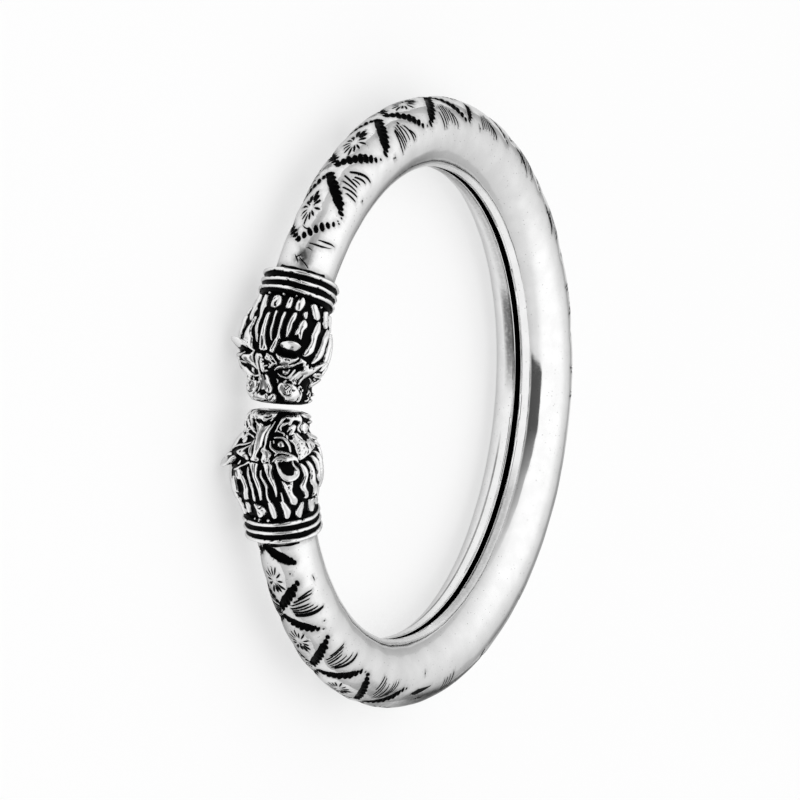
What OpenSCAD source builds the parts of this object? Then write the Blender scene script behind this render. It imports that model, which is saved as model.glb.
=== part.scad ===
// Lion head bangle: an open hoop of rolled silver tube that swells towards its back,
// with a ridged collar and a cast lion head on each end. The two muzzles nearly meet.
// It lies on its side. The hoop's axis is +Z, the heads are at -Y, millimetres throughout.
// Along the hoop, an angle runs from the gap at -Y round towards -X.
// Round a section, an angle of 0 faces out of the hoop, 90 faces up and 180 faces the wrist.

/* [Hoop] */
// Inside diameter of the hoop, where the wrist goes
wrist_d = 60; // [56:1:66]
// Thickness of the tube along the hoop's axis, at the collars
tube_h_end = 7.0; // [6.4:0.1:7.2]
// Thickness of the tube along the hoop's axis, at the back
tube_h_back = 10.1; // [8.5:0.1:10.6]
// Width of the tube's section across the hoop, as a share of its thickness
tube_ratio = 1.08; // [1:0.01:1.1]
// Distance from the middle of the section to the flat band, as a share of half its width
flat_share = 0.935; // [0.9:0.005:0.96]
// Thickness of the rolled sheet
wall = 0.5; // [0.4:0.05:0.7]
// Width of the open seam along the flat band
seam_w = 0.75; // [0.4:0.05:1]

/* [Collars] */
// Diameter over the ridges
collar_d = 9.4; // [9.2:0.1:10]
// Length of a collar
collar_l = 3.0; // [2.6:0.1:3.6]
// Number of ridges on a collar
ridges = 3; // [2:1:4]
// Depth of the grooves between the ridges
groove_d = 0.4; // [0.2:0.05:0.5]

/* [Heads] */
// Gap between the two muzzles
muzzle_gap = 0.9; // [0.6:0.1:2]
// Length of a head from its muzzle to its collar, along the hoop
head_l = 11.7; // [11:0.1:12.5]
// Distance of the heads' middle line outside the wrist circle
head_out = 3.9; // [3.7:0.1:4.2]
// Depth of the cuts between the locks of the mane
lock_cut = 0.5; // [0.2:0.05:0.6]
// Number of locks round the mane
locks = 30; // [24:1:32]
// How far the locks sway round the head, in degrees
lock_sway = 4; // [0:0.5:6]

/* [Hidden] */
// Running gap between pieces that are pushed into each other
gap = 0.1;
// Gap between the faces of a head and its collar
face_gap = 0.05;
silver = [0.80, 0.80, 0.82];
dark_silver = [0.45, 0.45, 0.47];

wrist_r = wrist_d / 2;
head_r = wrist_r + head_out;
deg_per_mm = 180 / PI / head_r;
muzzle_a = muzzle_gap / 2 * deg_per_mm;
neck_a = muzzle_a + head_l * deg_per_mm;
collar_a = neck_a + (face_gap + collar_l / 2) * deg_per_mm;
// The tube stops inside its collar, this far short of the collar's middle
tube_stop = 0.6;
tube_a = collar_a - tube_stop * deg_per_mm;

// Unit vectors of the section at an angle along the hoop: out of the hoop, and along it
function out_of(angle) = [-sin(angle), -cos(angle), 0];
function along(angle) = [-cos(angle), sin(angle), 0];

// Hoop tube.
// Half thickness and half width of its section at an angle along the hoop
function swell(angle) = (cos(collar_a) - cos(angle)) / (cos(collar_a) + 1);
function half_h(angle) = (tube_h_end + (tube_h_back - tube_h_end) * swell(angle)) / 2;
function half_w(angle) = half_h(angle) * tube_ratio;
function tube_mid(angle) = wrist_r + flat_share * half_w(angle);

// Round side of an oval section as [out, up] points, from one edge of its flat to the other
function oval(w, h, flat, steps) =
    let (edge = 180 - acos(flat / w))
    [for (i = [0 : steps]) let (t = -edge + 2 * edge * i / steps) [w * cos(t), h * sin(t)]];

// Closed outline of the rolled sheet, open at the seam: its outside, then its inside back again
oval_steps = 18;
function sheet(w, h) =
    let (flat = flat_share * w, lip = seam_w / 2,
         outside = concat([[-flat, -lip]], oval(w, h, flat, oval_steps), [[-flat, lip]]),
         inside = concat([[wall - flat, -lip]], oval(w - wall, h - wall, flat - wall, oval_steps),
                         [[wall - flat, lip]]))
    concat(outside, [for (i = [len(inside) - 1 : -1 : 0]) inside[i]]);

// Faces of a skin of rows points deep and cols points round, closed round but not at its ends
function skin(rows, cols) =
    [for (i = [0 : rows - 2]) for (k = [0 : cols - 1])
        let (a = i * cols + k, b = i * cols + (k + 1) % cols)
        each [[a, a + cols, b], [b, a + cols, b + cols]]];

tube_steps = 46;
module hoop_tube() {
    rows = [for (i = [0 : tube_steps])
        let (angle = tube_a + (360 - 2 * tube_a) * i / tube_steps)
        [for (q = sheet(half_w(angle), half_h(angle)))
            (tube_mid(angle) + q[0]) * out_of(angle) + [0, 0, q[1]]]];
    cols = len(rows[0]);
    last = tube_steps * cols;
    // Each end is closed by a strip of squares between the sheet's outside and its inside
    caps = [for (k = [0 : cols / 2 - 2])
        let (a = k, b = k + 1, c = cols - 2 - k, d = cols - 1 - k)
        each [[a, b, d], [b, c, d], [last + b, last + a, last + d], [last + c, last + b, last + d]]];
    color(silver) polyhedron([for (row = rows) each row], concat(skin(tube_steps + 1, cols), caps));
}

// Collars.
// Each one stands on a straight axis along the hoop, with local -Y facing out of the hoop
module at_collar() {
    translate(head_r * out_of(collar_a)) rotate([0, 0, -collar_a]) rotate([0, -90, 0]) children();
}

ridge_pitch = collar_l / (ridges + 0.02);
ridge_w = 0.55 * ridge_pitch;
ridge_round = 0.12;
module ridged_band() {
    rotate_extrude($fn = 96) {
        translate([0, -collar_l / 2]) square([collar_d / 2 - groove_d, collar_l]);
        for (i = [0 : ridges - 1])
            translate([0, (i - (ridges - 1) / 2) * ridge_pitch - ridge_w / 2]) {
                square([collar_d / 2 - ridge_round, ridge_w]);
                translate([0, ridge_round]) square([collar_d / 2, ridge_w - 2 * ridge_round]);
            }
    }
}

module collar() {
    // The bore clears the tube where it is thickest, at the collar's face away from the head
    thick_a = collar_a + collar_l / 2 * deg_per_mm;
    w = half_w(thick_a) + gap;
    h = half_h(thick_a) + gap;
    bore = [for (q = oval(w, h, flat_share * half_w(thick_a) + gap, 40))
        [q[1], head_r - tube_mid(collar_a) - q[0]]];
    color(silver) at_collar() difference() {
        ridged_band();
        linear_extrude(collar_l + 2, center = true) polygon(bore);
    }
}
module collar_left() { collar(); }
module collar_right() { mirror([1, 0, 0]) collar(); }

// Lion heads.
// Profile of a head: distance from the muzzle, radius
profile = [
    [0.00, 2.75], [0.12, 3.20], [0.50, 3.42], [1.30, 3.58], [2.20, 3.68], [3.10, 4.25],
    [4.00, 4.80], [4.90, 5.30], [5.70, 5.55], [6.60, 5.65], [7.50, 5.66], [8.40, 5.56],
    [9.30, 5.30], [10.2, 5.00], [11.0, 4.75], [11.7, 4.62]];
// How far a section's middle lies out from the collar's: distance from the muzzle, offset
rise = [
    [0.00, -0.45], [3.00, -0.45], [4.00, -0.30], [5.00, 0.00],
    [6.60, 0.25], [9.00, 0.40], [10.5, 0.10], [11.7, 0.00]];

// Raised and sunk forms of the face, the same on both cheeks:
// distance from the muzzle, angle from the nose line, half length, half angle, height,
// and how flat the top is, 1 for a mound and 3 for a slab
nose_tip     = [0.85,   0, 0.50, 17,  0.60, 2];
nose_top     = [2.30,   0, 0.80, 13,  0.45, 1];
nose_bridge  = [3.70,   0, 1.60,  6,  0.50, 2];
nose_side    = [3.10,  17, 1.60,  6, -0.45, 1];
whisker_pad  = [1.50,  46, 1.00, 18,  0.45, 2];
pad_fold     = [2.55,  36, 0.35, 16, -0.40, 1];
eye_socket   = [3.40,  34, 0.85, 15, -0.60, 2];
eyeball      = [3.40,  35, 0.45,  8,  0.70, 1];
brow         = [4.50,  37, 0.42, 20,  0.45, 2];
cheek        = [3.40,  66, 0.95, 11,  0.30, 1];
mouth_bead   = [1.70,  87, 0.50,  9,  0.45, 1];
mouth_corner = [2.50, 104, 0.70, 14, -0.45, 1];
chin         = [1.20, 150, 1.00, 45,  0.25, 1];
ear_hollow   = [5.40,  39, 0.32, 11, -0.60, 1];
ear_flap     = [6.10,  39, 0.42, 14,  1.65, 3];
face = [nose_tip, nose_top, nose_bridge, nose_side, whisker_pad, pad_fold, eye_socket, eyeball, brow,
        cheek, mouth_bead, mouth_corner, chin, ear_hollow, ear_flap];

// Distance from the muzzle at which the mane starts, by the angle from the nose line
mane_start = [[0, 5.2], [58, 5.2], [85, 4.3], [120, 3.2], [180, 2.6]];
// Distance from the muzzle where the long locks end and the short tufts start
tuft_start = 9.55;
// Rows of points along a head, closer together where the ears stand
face_step = 0.4;
row_at = concat([0.12, 0.5], [for (s = [0.9 : face_step : 5.4]) s],
                [5.65, 5.85, 6.3, 6.5, 6.9, 7.5, 8.1, 8.7, 9.2, tuft_start, 9.9, 10.6, 11.2, head_l]);
cols_per_lock = 3;
cols = locks * cols_per_lock;

function ramp(x, width) = min(1, max(0, x / width));
function off_nose(angle) = let (t = (angle % 360 + 360) % 360) min(t, 360 - t);
function total(v, i = 0) = i >= len(v) ? 0 : v[i] + total(v, i + 1);
function mound(s, t, f) =
    f[4] * exp(-pow(pow((s - f[0]) / f[2], 2) + pow((t - f[1]) / f[3], 2), f[5]));
function face_height(s, t) = total([for (f = face) mound(s, t, f)]);
function sway(s) = lock_sway * sin((s - 5) * 75) * ramp(s - 5, 1);
function mane(s, t) = ramp(s - lookup(t, mane_start), 0.35);

// Cut between locks: one column in every lock is deep, and tufts sit half a lock further round
function lock_gap(k, s) = ((k + (s > tuft_start ? 1 : 0)) % cols_per_lock) == 0 ? 1 : 0.12;
function tier_gap(s) = abs(s - tuft_start) < 0.1 ? 0.5 : 0;
function neck_gap(s) = ramp(s - head_l + 0.6, 0.5) * 0.6;
function head_radius(s, k) =
    let (angle = k * 360 / cols + sway(s), t = off_nose(angle))
    lookup(s, profile) + face_height(s, t)
        - mane(s, t) * lock_cut * max(lock_gap(k, s), tier_gap(s), neck_gap(s));

// A head's point lies on its section, and the last sections turn square to the collar
function head_point(s, k) =
    let (angle = k * 360 / cols + sway(s), r = head_radius(s, k),
         bent = muzzle_a + s * deg_per_mm, turn = ramp(s - head_l + 2.5, 2.5),
         section = bent + turn * (collar_a - bent),
         back = head_l + face_gap + collar_l / 2 - s,
         middle = turn < 1 ? (head_r + lookup(s, rise)) * out_of(bent)
                           : head_r * out_of(collar_a) - back * along(collar_a))
    middle + r * cos(angle) * out_of(section) + [0, 0, r * sin(angle)];

// Plug behind each head, which goes through the collar into the tube's end.
// Its ends are given by their distance past the middle of the collar.
plug_r = half_h(collar_a) - wall - 0.15;
plug_from = -face_gap - collar_l / 2;
plug_to = 2.0;
function on_plug(d, r, angle) =
    (tube_mid(collar_a) + r * cos(angle)) * out_of(collar_a) + d * along(collar_a)
        + [0, 0, r * sin(angle)];

// Skin of a head and its plug: the muzzle's tip, the rows, the plug's rows and the plug's end
head_rows = len(row_at) + 2;
head_points = concat(
    [for (s = row_at) for (k = [0 : cols - 1]) head_point(s, k)],
    [for (d = [plug_from, plug_to]) for (k = [0 : cols - 1]) on_plug(d, plug_r, k * 360 / cols)],
    [(head_r + rise[0][1]) * out_of(muzzle_a), on_plug(plug_to, 0, 0)]);
muzzle_tip = head_rows * cols;
plug_tip = muzzle_tip + 1;
plug_rim = (head_rows - 1) * cols;
head_faces = concat(
    skin(head_rows, cols),
    [for (k = [0 : cols - 1]) [muzzle_tip, k, (k + 1) % cols]],
    [for (k = [0 : cols - 1]) [plug_tip, plug_rim + (k + 1) % cols, plug_rim + k]]);

module lion_head() {
    color(dark_silver) polyhedron(head_points, head_faces);
}
module lion_head_left() { lion_head(); }
module lion_head_right() { mirror([1, 0, 0]) lion_head(); }

// The heads are thicker than the back of the tube, so the hoop leans until all three rest.
head_half = max([for (p = head_points) p[2]]);
back_half = tube_h_back / 2;
widest_a = muzzle_a + 6.6 * deg_per_mm;
lean = asin((head_half - back_half) / (head_r * cos(widest_a) + tube_mid(180)));
function leant(p) = [p[0], p[1] * cos(lean) + p[2] * sin(lean), p[2] * cos(lean) - p[1] * sin(lean)];
low_z = min([for (p = head_points) each [leant(p)[2], leant([p[0], p[1], -p[2]])[2]]]);
front_y = min([for (p = head_points) leant(p)[1]]);
back_y = (tube_mid(180) + half_w(180)) * cos(lean);

// The origin is under the middle of the whole bangle, on the surface that it lies on
module lie_down() {
    translate([0, -(front_y + back_y) / 2, -low_z]) rotate([-lean, 0, 0]) children();
}

lie_down() hoop_tube();
lie_down() collar_left();
lie_down() collar_right();
lie_down() lion_head_left();
lie_down() lion_head_right();
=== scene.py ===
"""Lion head bangle: an open hoop of silver tube with punched marks, two ridged collars and two
cast lion heads, lying on its side on a pale floor.

Lengths inside the script are millimetres in the hoop's own frame: the hoop's axis is +Z, the gap
between the muzzles is at -Y, and an angle along the hoop runs from the gap towards -X. Round a
section, a turn of 0 faces out of the hoop, 90 faces up and 180 faces the wrist.
"""
import math

import bpy
import numpy as np
from bpy.props import FloatProperty, FloatVectorProperty, IntProperty, PointerProperty
from mathutils import Matrix, Vector
from mathutils.geometry import delaunay_2d_cdt


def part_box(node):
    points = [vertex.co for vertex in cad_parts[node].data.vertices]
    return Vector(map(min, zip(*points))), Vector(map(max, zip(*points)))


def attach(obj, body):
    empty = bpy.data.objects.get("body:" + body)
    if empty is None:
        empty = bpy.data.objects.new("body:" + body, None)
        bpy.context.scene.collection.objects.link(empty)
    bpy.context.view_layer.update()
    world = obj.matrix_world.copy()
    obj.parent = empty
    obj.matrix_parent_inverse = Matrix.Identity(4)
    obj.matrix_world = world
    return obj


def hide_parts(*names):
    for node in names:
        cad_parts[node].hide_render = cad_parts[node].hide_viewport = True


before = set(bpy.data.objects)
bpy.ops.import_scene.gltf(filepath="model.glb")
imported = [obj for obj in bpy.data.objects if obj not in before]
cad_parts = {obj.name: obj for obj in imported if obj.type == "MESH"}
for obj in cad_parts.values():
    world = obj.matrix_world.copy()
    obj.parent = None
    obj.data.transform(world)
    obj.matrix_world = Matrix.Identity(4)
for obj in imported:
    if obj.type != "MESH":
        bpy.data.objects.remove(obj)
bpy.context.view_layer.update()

bl_info = {
    "name": "Lion head bangle",
    "version": (1, 0, 0),
    "blender": (4, 5, 0),
    "location": "3D View > Sidebar > Bangle",
    "description": "Open silver bangle with punched marks, ridged collars and cast lion heads",
    "category": "Object",
}

MM = 0.001
BACK = 180.0
# Size of the photograph, and how far its middle lies from the hoop's, all in pixels
PHOTO_SIDE = 800
PHOTO_RIGHT, PHOTO_DOWN = 12.136, 2.894

# Sizes, finishes and studio


def length(name, description, default, low, high):
    """Property for a real length, in metres."""
    return FloatProperty(name=name, description=description, default=default, min=low, max=high,
                         unit="LENGTH", precision=5)


class BangleSizes(bpy.types.PropertyGroup):
    """Real sizes of the bangle"""
    wrist_d: length("Wrist opening", "Inside diameter of the hoop", 0.060, 0.056, 0.066)
    tube_h_end: length("Tube at the collars", "Thickness of the tube at its ends", 0.0070, 0.0064, 0.0072)
    tube_h_back: length("Tube at the back", "Thickness of the tube at its back", 0.0101, 0.0085, 0.0106)
    tube_ratio: FloatProperty(
        name="Tube ratio", description="Width of a section as a share of its thickness",
        default=1.08, min=1.0, max=1.1)
    flat_share: FloatProperty(
        name="Flat band", description="Distance to the flat band as a share of half the width",
        default=0.935, min=0.9, max=0.96)
    wall: length("Sheet", "Thickness of the rolled sheet", 0.0005, 0.0004, 0.0007)
    seam_w: length("Seam", "Width of the open seam along the flat band", 0.00075, 0.0004, 0.001)
    collar_d: length("Collar", "Diameter over a collar's ridges", 0.0094, 0.0092, 0.01)
    collar_l: length("Collar length", "Length of a collar along the hoop", 0.0030, 0.0026, 0.0036)
    ridge_pitch: length("Ridge pitch", "Distance from one ridge to the next", 0.0011, 0.0009, 0.0012)
    ridges: IntProperty(
        name="Ridges", description="Number of ridges on a collar", default=3, min=2, max=4)
    groove_d: length("Grooves", "Depth of the grooves between the ridges", 0.0004, 0.0002, 0.0005)
    muzzle_gap: length("Gap", "Gap between the two muzzles", 0.0009, 0.0006, 0.002)
    head_l: length("Head length", "Length of a head from its muzzle to its collar", 0.0117, 0.011, 0.0125)
    head_out: length("Head middle", "Distance of the heads' middle line outside the wrist circle",
                     0.0039, 0.0037, 0.0042)
    lock_cut: length("Mane depth", "Depth of the cuts between the locks of the mane",
                     0.0005, 0.0002, 0.0006)
    punch_d: length("Punch depth", "Depth of the punch marks in the tube", 0.00022, 0.0001, 0.0003)
    pillow: length("Pillow", "How far the sheet has sunk along the rows of punch marks",
                   0.00013, 0.0, 0.0002)


def colour(name, description, default):
    """Property for a colour."""
    return FloatVectorProperty(name=name, description=description, default=default, min=0.0, max=1.0,
                               subtype="COLOR")


class BangleFinish(bpy.types.PropertyGroup):
    """Colours and polish of the silver"""
    silver: colour("Silver", "Colour of the polished silver", (0.93, 0.93, 0.93))
    oxide: colour("Oxide", "Colour of the blackened recesses", (0.0018, 0.0018, 0.002))
    # Colour that both stained silver and painted shade darken towards
    smudge: colour("Stain and shade", "Colour that stained silver darkens towards", (0.012, 0.012, 0.012))
    polish: FloatProperty(
        name="Roughness", description="Roughness of the polished silver",
        default=0.13, min=0.02, max=0.5, subtype="FACTOR")


class BangleStudio(bpy.types.PropertyGroup):
    """Camera and light, seen from the hoop"""
    distance: length("Camera distance", "From the middle of the hoop to the camera", 0.450, 0.2, 1.0)
    azimuth: FloatProperty(
        name="Azimuth", description="Camera's angle round the hoop's axis, towards -X",
        default=math.radians(3.4062), subtype="ANGLE")
    elevation: FloatProperty(
        name="Elevation", description="Camera's angle above the plane of the hoop",
        default=math.radians(27.5908), subtype="ANGLE")
    roll: FloatProperty(
        name="Roll", description="Turn of the picture about the camera's own axis",
        default=math.radians(95.72), subtype="ANGLE")
    lens: FloatProperty(
        name="Focal length", description="Focal length on a sensor 36 mm wide",
        default=159.893, min=50.0, max=300.0)
    light: FloatProperty(
        name="Tent", description="Brightness of the white tent overhead",
        default=1.10, min=0.0, max=5.0)
    lamp: FloatProperty(
        name="Lamp", description="Power of the soft lamp that keeps the table white, in watts",
        default=7.0, min=0.0, max=50.0)


# The hoop in its own frame, millimetres


def out_of(angle):
    """Unit vector that faces out of the hoop at an angle along it, in degrees."""
    a = np.radians(np.asarray(angle, float))
    return np.stack([-np.sin(a), -np.cos(a), np.zeros_like(a)], -1)


def along(angle):
    """Unit vector along the hoop, away from the gap, at an angle along it in degrees."""
    a = np.radians(np.asarray(angle, float))
    return np.stack([-np.cos(a), np.sin(a), np.zeros_like(a)], -1)


class Hoop:
    """Sizes in millimetres, worked out from the sidebar's values, and points of the tube."""
    crease = 0.16
    lip_round = 0.13
    face_gap = 0.05
    tube_stop = 0.6
    chart_edge = 174.0
    stations = 336

    def __init__(self, sizes):
        self.wrist_r = sizes.wrist_d / MM / 2
        self.h_end = sizes.tube_h_end / MM
        self.h_back = sizes.tube_h_back / MM
        self.ratio = sizes.tube_ratio
        self.flat_share = sizes.flat_share
        self.wall = sizes.wall / MM
        self.seam = sizes.seam_w / MM
        self.collar_r = sizes.collar_d / MM / 2
        self.collar_l = sizes.collar_l / MM
        self.ridges = sizes.ridges
        self.ridge_pitch = sizes.ridge_pitch / MM
        self.groove = sizes.groove_d / MM
        self.head_l = sizes.head_l / MM
        self.head_r = self.wrist_r + sizes.head_out / MM
        self.lock_cut = sizes.lock_cut / MM
        self.punch = sizes.punch_d / MM
        self.pillow = sizes.pillow / MM
        self.deg_per_mm = 180 / math.pi / self.head_r
        self.muzzle_a = sizes.muzzle_gap / MM / 2 * self.deg_per_mm
        self.neck_a = self.muzzle_a + self.head_l * self.deg_per_mm
        self.collar_a = self.neck_a + (self.face_gap + self.collar_l / 2) * self.deg_per_mm
        self.tube_a = self.collar_a - self.tube_stop * self.deg_per_mm

    def half_h(self, angle):
        collar = math.cos(math.radians(self.collar_a))
        swell = (collar - np.cos(np.radians(angle))) / (collar + 1)
        return (self.h_end + (self.h_back - self.h_end) * swell) / 2

    def half_w(self, angle):
        return self.half_h(angle) * self.ratio

    def tube_mid(self, angle):
        return self.wrist_r + self.flat_share * self.half_w(angle)

    def seam_turn(self, angle):
        """Turn at which the flat band rounds over into the seam."""
        rim = (self.seam / 2 + self.lip_round) / self.half_h(angle)
        return 180 - np.degrees(np.arcsin(rim))

    def section(self, angle, turn, lift=0.0, inset=0.0):
        """Out and up distances from the section's middle, with the flat band's soft creases."""
        h, w = self.half_h(angle) - inset, self.half_w(angle) - inset
        flat = self.flat_share * self.half_w(angle) - inset
        c, s = np.cos(np.radians(turn)), np.sin(np.radians(turn))
        past = w * c + flat
        root = np.sqrt(past ** 2 + self.crease ** 2)
        round_share = (1 + past / root) / 2
        nx, nz = c / w, s / h
        size = np.hypot(nx, nz)
        nx = nx / size * round_share - (1 - round_share)
        nz = nz / size * round_share
        size = np.hypot(nx, nz)
        return (past + root) / 2 - flat + lift * nx / size, h * s + lift * nz / size

    def at(self, angle, out, up):
        """Points at a distance out from the section's middle and up from the hoop's plane."""
        place = (self.tube_mid(angle) + out)[..., None] * out_of(angle)
        place[..., 2] = up
        return place


def standing(hoop):
    """Matrix from the hoop's frame to the part's, worked out from where the CAD nodes lie.

    The bangle rests on both heads and on the back of the tube, so the hoop leans a little."""
    low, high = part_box("collar_left")
    tube_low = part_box("hoop_tube")[0]
    collar_y, collar_z = (low.y + high.y) / 2 / MM, (low.z + high.z) / 2 / MM
    forward = hoop.head_r * math.cos(math.radians(hoop.collar_a))
    drop = collar_z - tube_low.z / MM - hoop.half_h(BACK)
    lean = math.asin(drop / (forward + hoop.tube_mid(BACK)))
    shift_y = collar_y + forward * math.cos(lean)
    lift = collar_z - forward * math.sin(lean)
    return Matrix.Translation((0, shift_y * MM, lift * MM)) @ Matrix.Rotation(-lean, 4, "X")


# Meshes


def new_piece(name, points, faces, hoop, **values):
    """Smooth mesh object from points in millimetres, with a float attribute for each value. A right
    piece is made on the left half of the hoop and mirrored here."""
    if name.endswith("_right"):
        points, faces = points * np.array([-1.0, 1.0, 1.0]), [f[:, ::-1] for f in faces]
    place = np.array(standing(hoop))
    loops = np.concatenate([np.asarray(f, np.int32).ravel() for f in faces])
    sizes = np.concatenate([np.full(len(f), f.shape[1], np.int32) for f in faces])
    mesh = bpy.data.meshes.new(name)
    mesh.vertices.add(len(points))
    turned = points * MM @ place[:3, :3].T + place[:3, 3]
    turned[:, 2] = np.maximum(turned[:, 2], 0.0)
    mesh.vertices.foreach_set("co", turned.astype(np.float32).ravel())
    mesh.loops.add(len(loops))
    mesh.loops.foreach_set("vertex_index", loops)
    mesh.polygons.add(len(sizes))
    mesh.polygons.foreach_set("loop_start", np.concatenate([[0], np.cumsum(sizes)[:-1]]))
    mesh.polygons.foreach_set("loop_total", sizes)
    mesh.polygons.foreach_set("use_smooth", np.ones(len(sizes), bool))
    for key, value in values.items():
        layer = mesh.attributes.new(key, "FLOAT", "POINT")
        layer.data.foreach_set("value", np.asarray(value, np.float32).ravel())
    mesh.update(calc_edges=True)
    if mesh.validate():
        raise RuntimeError(f"the mesh of {name} has faces that Blender had to drop")
    piece = bpy.data.objects.new(name, mesh)
    bpy.context.scene.collection.objects.link(piece)
    return piece


def ring_faces(rings, around):
    """Squares between rings of points, each ring closed."""
    r, c = np.meshgrid(np.arange(rings - 1), np.arange(around), indexing="ij")
    a, b = r * around + c, r * around + (c + 1) % around
    return np.stack([a, b, b + around, a + around], -1).reshape(-1, 4)


def hermite(x, xs, ys):
    """Smooth curve through a few points, read at x."""
    xs, ys = np.asarray(xs, float), np.asarray(ys, float)
    steep = np.gradient(ys, xs) if len(xs) > 2 else np.full(len(xs), (ys[-1] - ys[0]) / (xs[-1] - xs[0]))
    x = np.clip(x, xs[0], xs[-1])
    k = np.clip(np.searchsorted(xs, x) - 1, 0, len(xs) - 2)
    step = xs[k + 1] - xs[k]
    f = (x - xs[k]) / step
    return ((1 + 2 * f) * (1 - f) ** 2 * ys[k] + f * (1 - f) ** 2 * step * steep[k]
            + f * f * (3 - 2 * f) * ys[k + 1] + f * f * (f - 1) * step * steep[k + 1])


def smooth_path(rows, per_step=4, closed=False):
    """The same path with points added between, on smooth curves through the given ones. The first
    two columns are millimetres; a closed path goes once round."""
    count = len(rows)
    if count < 3:
        return rows
    if closed:
        rows = np.concatenate([rows[-2:], rows, rows[:3]])
    step = np.hypot(*np.diff(rows[:, :2], axis=0).T)
    at = np.r_[0, np.cumsum(np.sqrt(step + 1e-4))]
    fine = np.concatenate([np.linspace(a, b, per_step, endpoint=False) for a, b in zip(at, at[1:])])
    if closed:
        fine = fine[2 * per_step:(2 + count) * per_step]
    else:
        fine = np.r_[fine, at[-1]]
    return np.stack([hermite(fine, at, rows[:, k]) for k in range(rows.shape[1])], -1)


def from_line(x, y, x0, y0, x1, y1):
    """Share of the way along a straight line and distance from it, at each point."""
    dx, dy = x1 - x0, y1 - y0
    f = np.clip(((x - x0) * dx + (y - y0) * dy) / (dx * dx + dy * dy + 1e-12), 0, 1)
    return f, np.hypot(x - x0 - f * dx, y - y0 - f * dy)


def ramp(x, width):
    return np.clip(x / width, 0, 1)


def ripples(x, y, size, seed, waves=14):
    """Soft random waves between about -1 and 1, with bumps of the given size."""
    rng = np.random.default_rng(seed)
    total = np.zeros_like(x)
    for _ in range(waves):
        way, phase = rng.uniform(0, 2 * math.pi, 2)
        pitch = size * rng.uniform(1.2, 3.0)
        total += np.sin((x * math.cos(way) + y * math.sin(way)) * 2 * math.pi / pitch + phase)
    return total / math.sqrt(waves)


# Hoop tube: punched marks

# Bars of bead punches on the side that the camera sees, between the outer line and the side.
# Angle along the hoop and turn at both ends (angles below 0 are the right half), number of beads,
# width in millimetres, overlap of the beads and whether one long edge is smooth
BARS = [
    # from angle, turn, to angle, turn, beads, width, overlap, smooth edge
    (32.3, -4, 37.5, 52, 7, 1.25, 0.80, 0),
    (40.5, 56, 47.9, -2, 9, 1.50, 1.05, 1),
    (50.7, 2, 56.5, 58, 8, 1.60, 1.05, 0),
    (59.8, 64, 66.7, 6, 9, 1.56, 1.05, 1),
    (69.3, 10, 75.3, 64, 8, 1.54, 1.05, 0),
    (78.3, 66, 85.6, 7, 9, 1.46, 1.05, 1),
    (86.5, 10, 92.9, 65, 8, 1.46, 1.05, 0),
    (94.4, 66, 97.6, 28, 7, 1.15, 1.05, 1),
    (-26.9, -13, -30.4, 40, 8, 1.45, 1.90, 1),
    (-35.0, 37, -40.2, -10, 7, 1.45, 1.05, 1),
    (-42.9, -12, -47.3, 44, 8, 1.45, 1.15, 1),
    (-50.5, 53, -57.1, -5, 9, 1.40, 1.00, 1),
    (-59.6, -1, -65.8, 63, 9, 1.45, 1.15, 1),
    (-68.4, 66, -74.2, 10, 9, 1.40, 1.00, 1),
    (-77.0, 13, -84.0, 65, 9, 1.40, 1.15, 1),
]
# The rest of the pattern repeats evenly round the back of the left half
CORNER_FIRST, CORNER_PITCH, REPEATS = 103.9, 18.0, 4
# Degrees between the ends of a bar and of the one that it mirrors to, where the diamonds meet
CORNER_GAP = 3.0
# Angles of the fan punches on the outer line
FANS = [33.0, 49.4, 68.0, 86.2, 318.2, 301.4, 284.0]
# Lean of the beads where a bar runs outwards and where it runs inwards, in radians
BEAD_LEANS = (0.6, 0.2)

# Small dots at the side corners
SPECKS = [
    # angle, turn, radius
    (38.3, 61, 0.12), (38.6, 57, 0.10), (39.7, 61, 0.14), (57.6, 64, 0.16), (76.7, 67, 0.13),
    (94.4, 67, 0.15), (94.0, 51, 0.12), (68.6, 38, 0.20), (-47.9, 53, 0.12), (-46.2, 61, 0.10),
    (-67.0, 67, 0.12), (-85.0, 68, 0.17), (-32.5, 28, 0.10), (46.7, 83, 0.10), (62.0, 82, 0.12),
    (61.6, 81, 0.09), (98.4, 75, 0.12), (-91.5, 93, 0.10),
]

# Flowers inside the diamonds: angle and turn of the middle, half length and half width, petals,
# half width of a petal
FLOWERS = [
    # angle, turn, half length, half width, petals, petal
    (39.3, -5, 2.35, 1.2, 12, 0.165), (57.6, 4, 2.6, 1.3, 13, 0.175), (76.2, 8, 2.5, 1.25, 13, 0.17),
    (94.4, 6, 2.4, 1.2, 13, 0.165), (-34.0, -9, 2.0, 1.3, 12, 0.14), (-49.4, -2, 2.1, 1.3, 13, 0.145),
    (-67.0, 6, 2.2, 1.3, 13, 0.145), (-84.6, 4, 2.3, 1.25, 13, 0.15),
]

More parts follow.
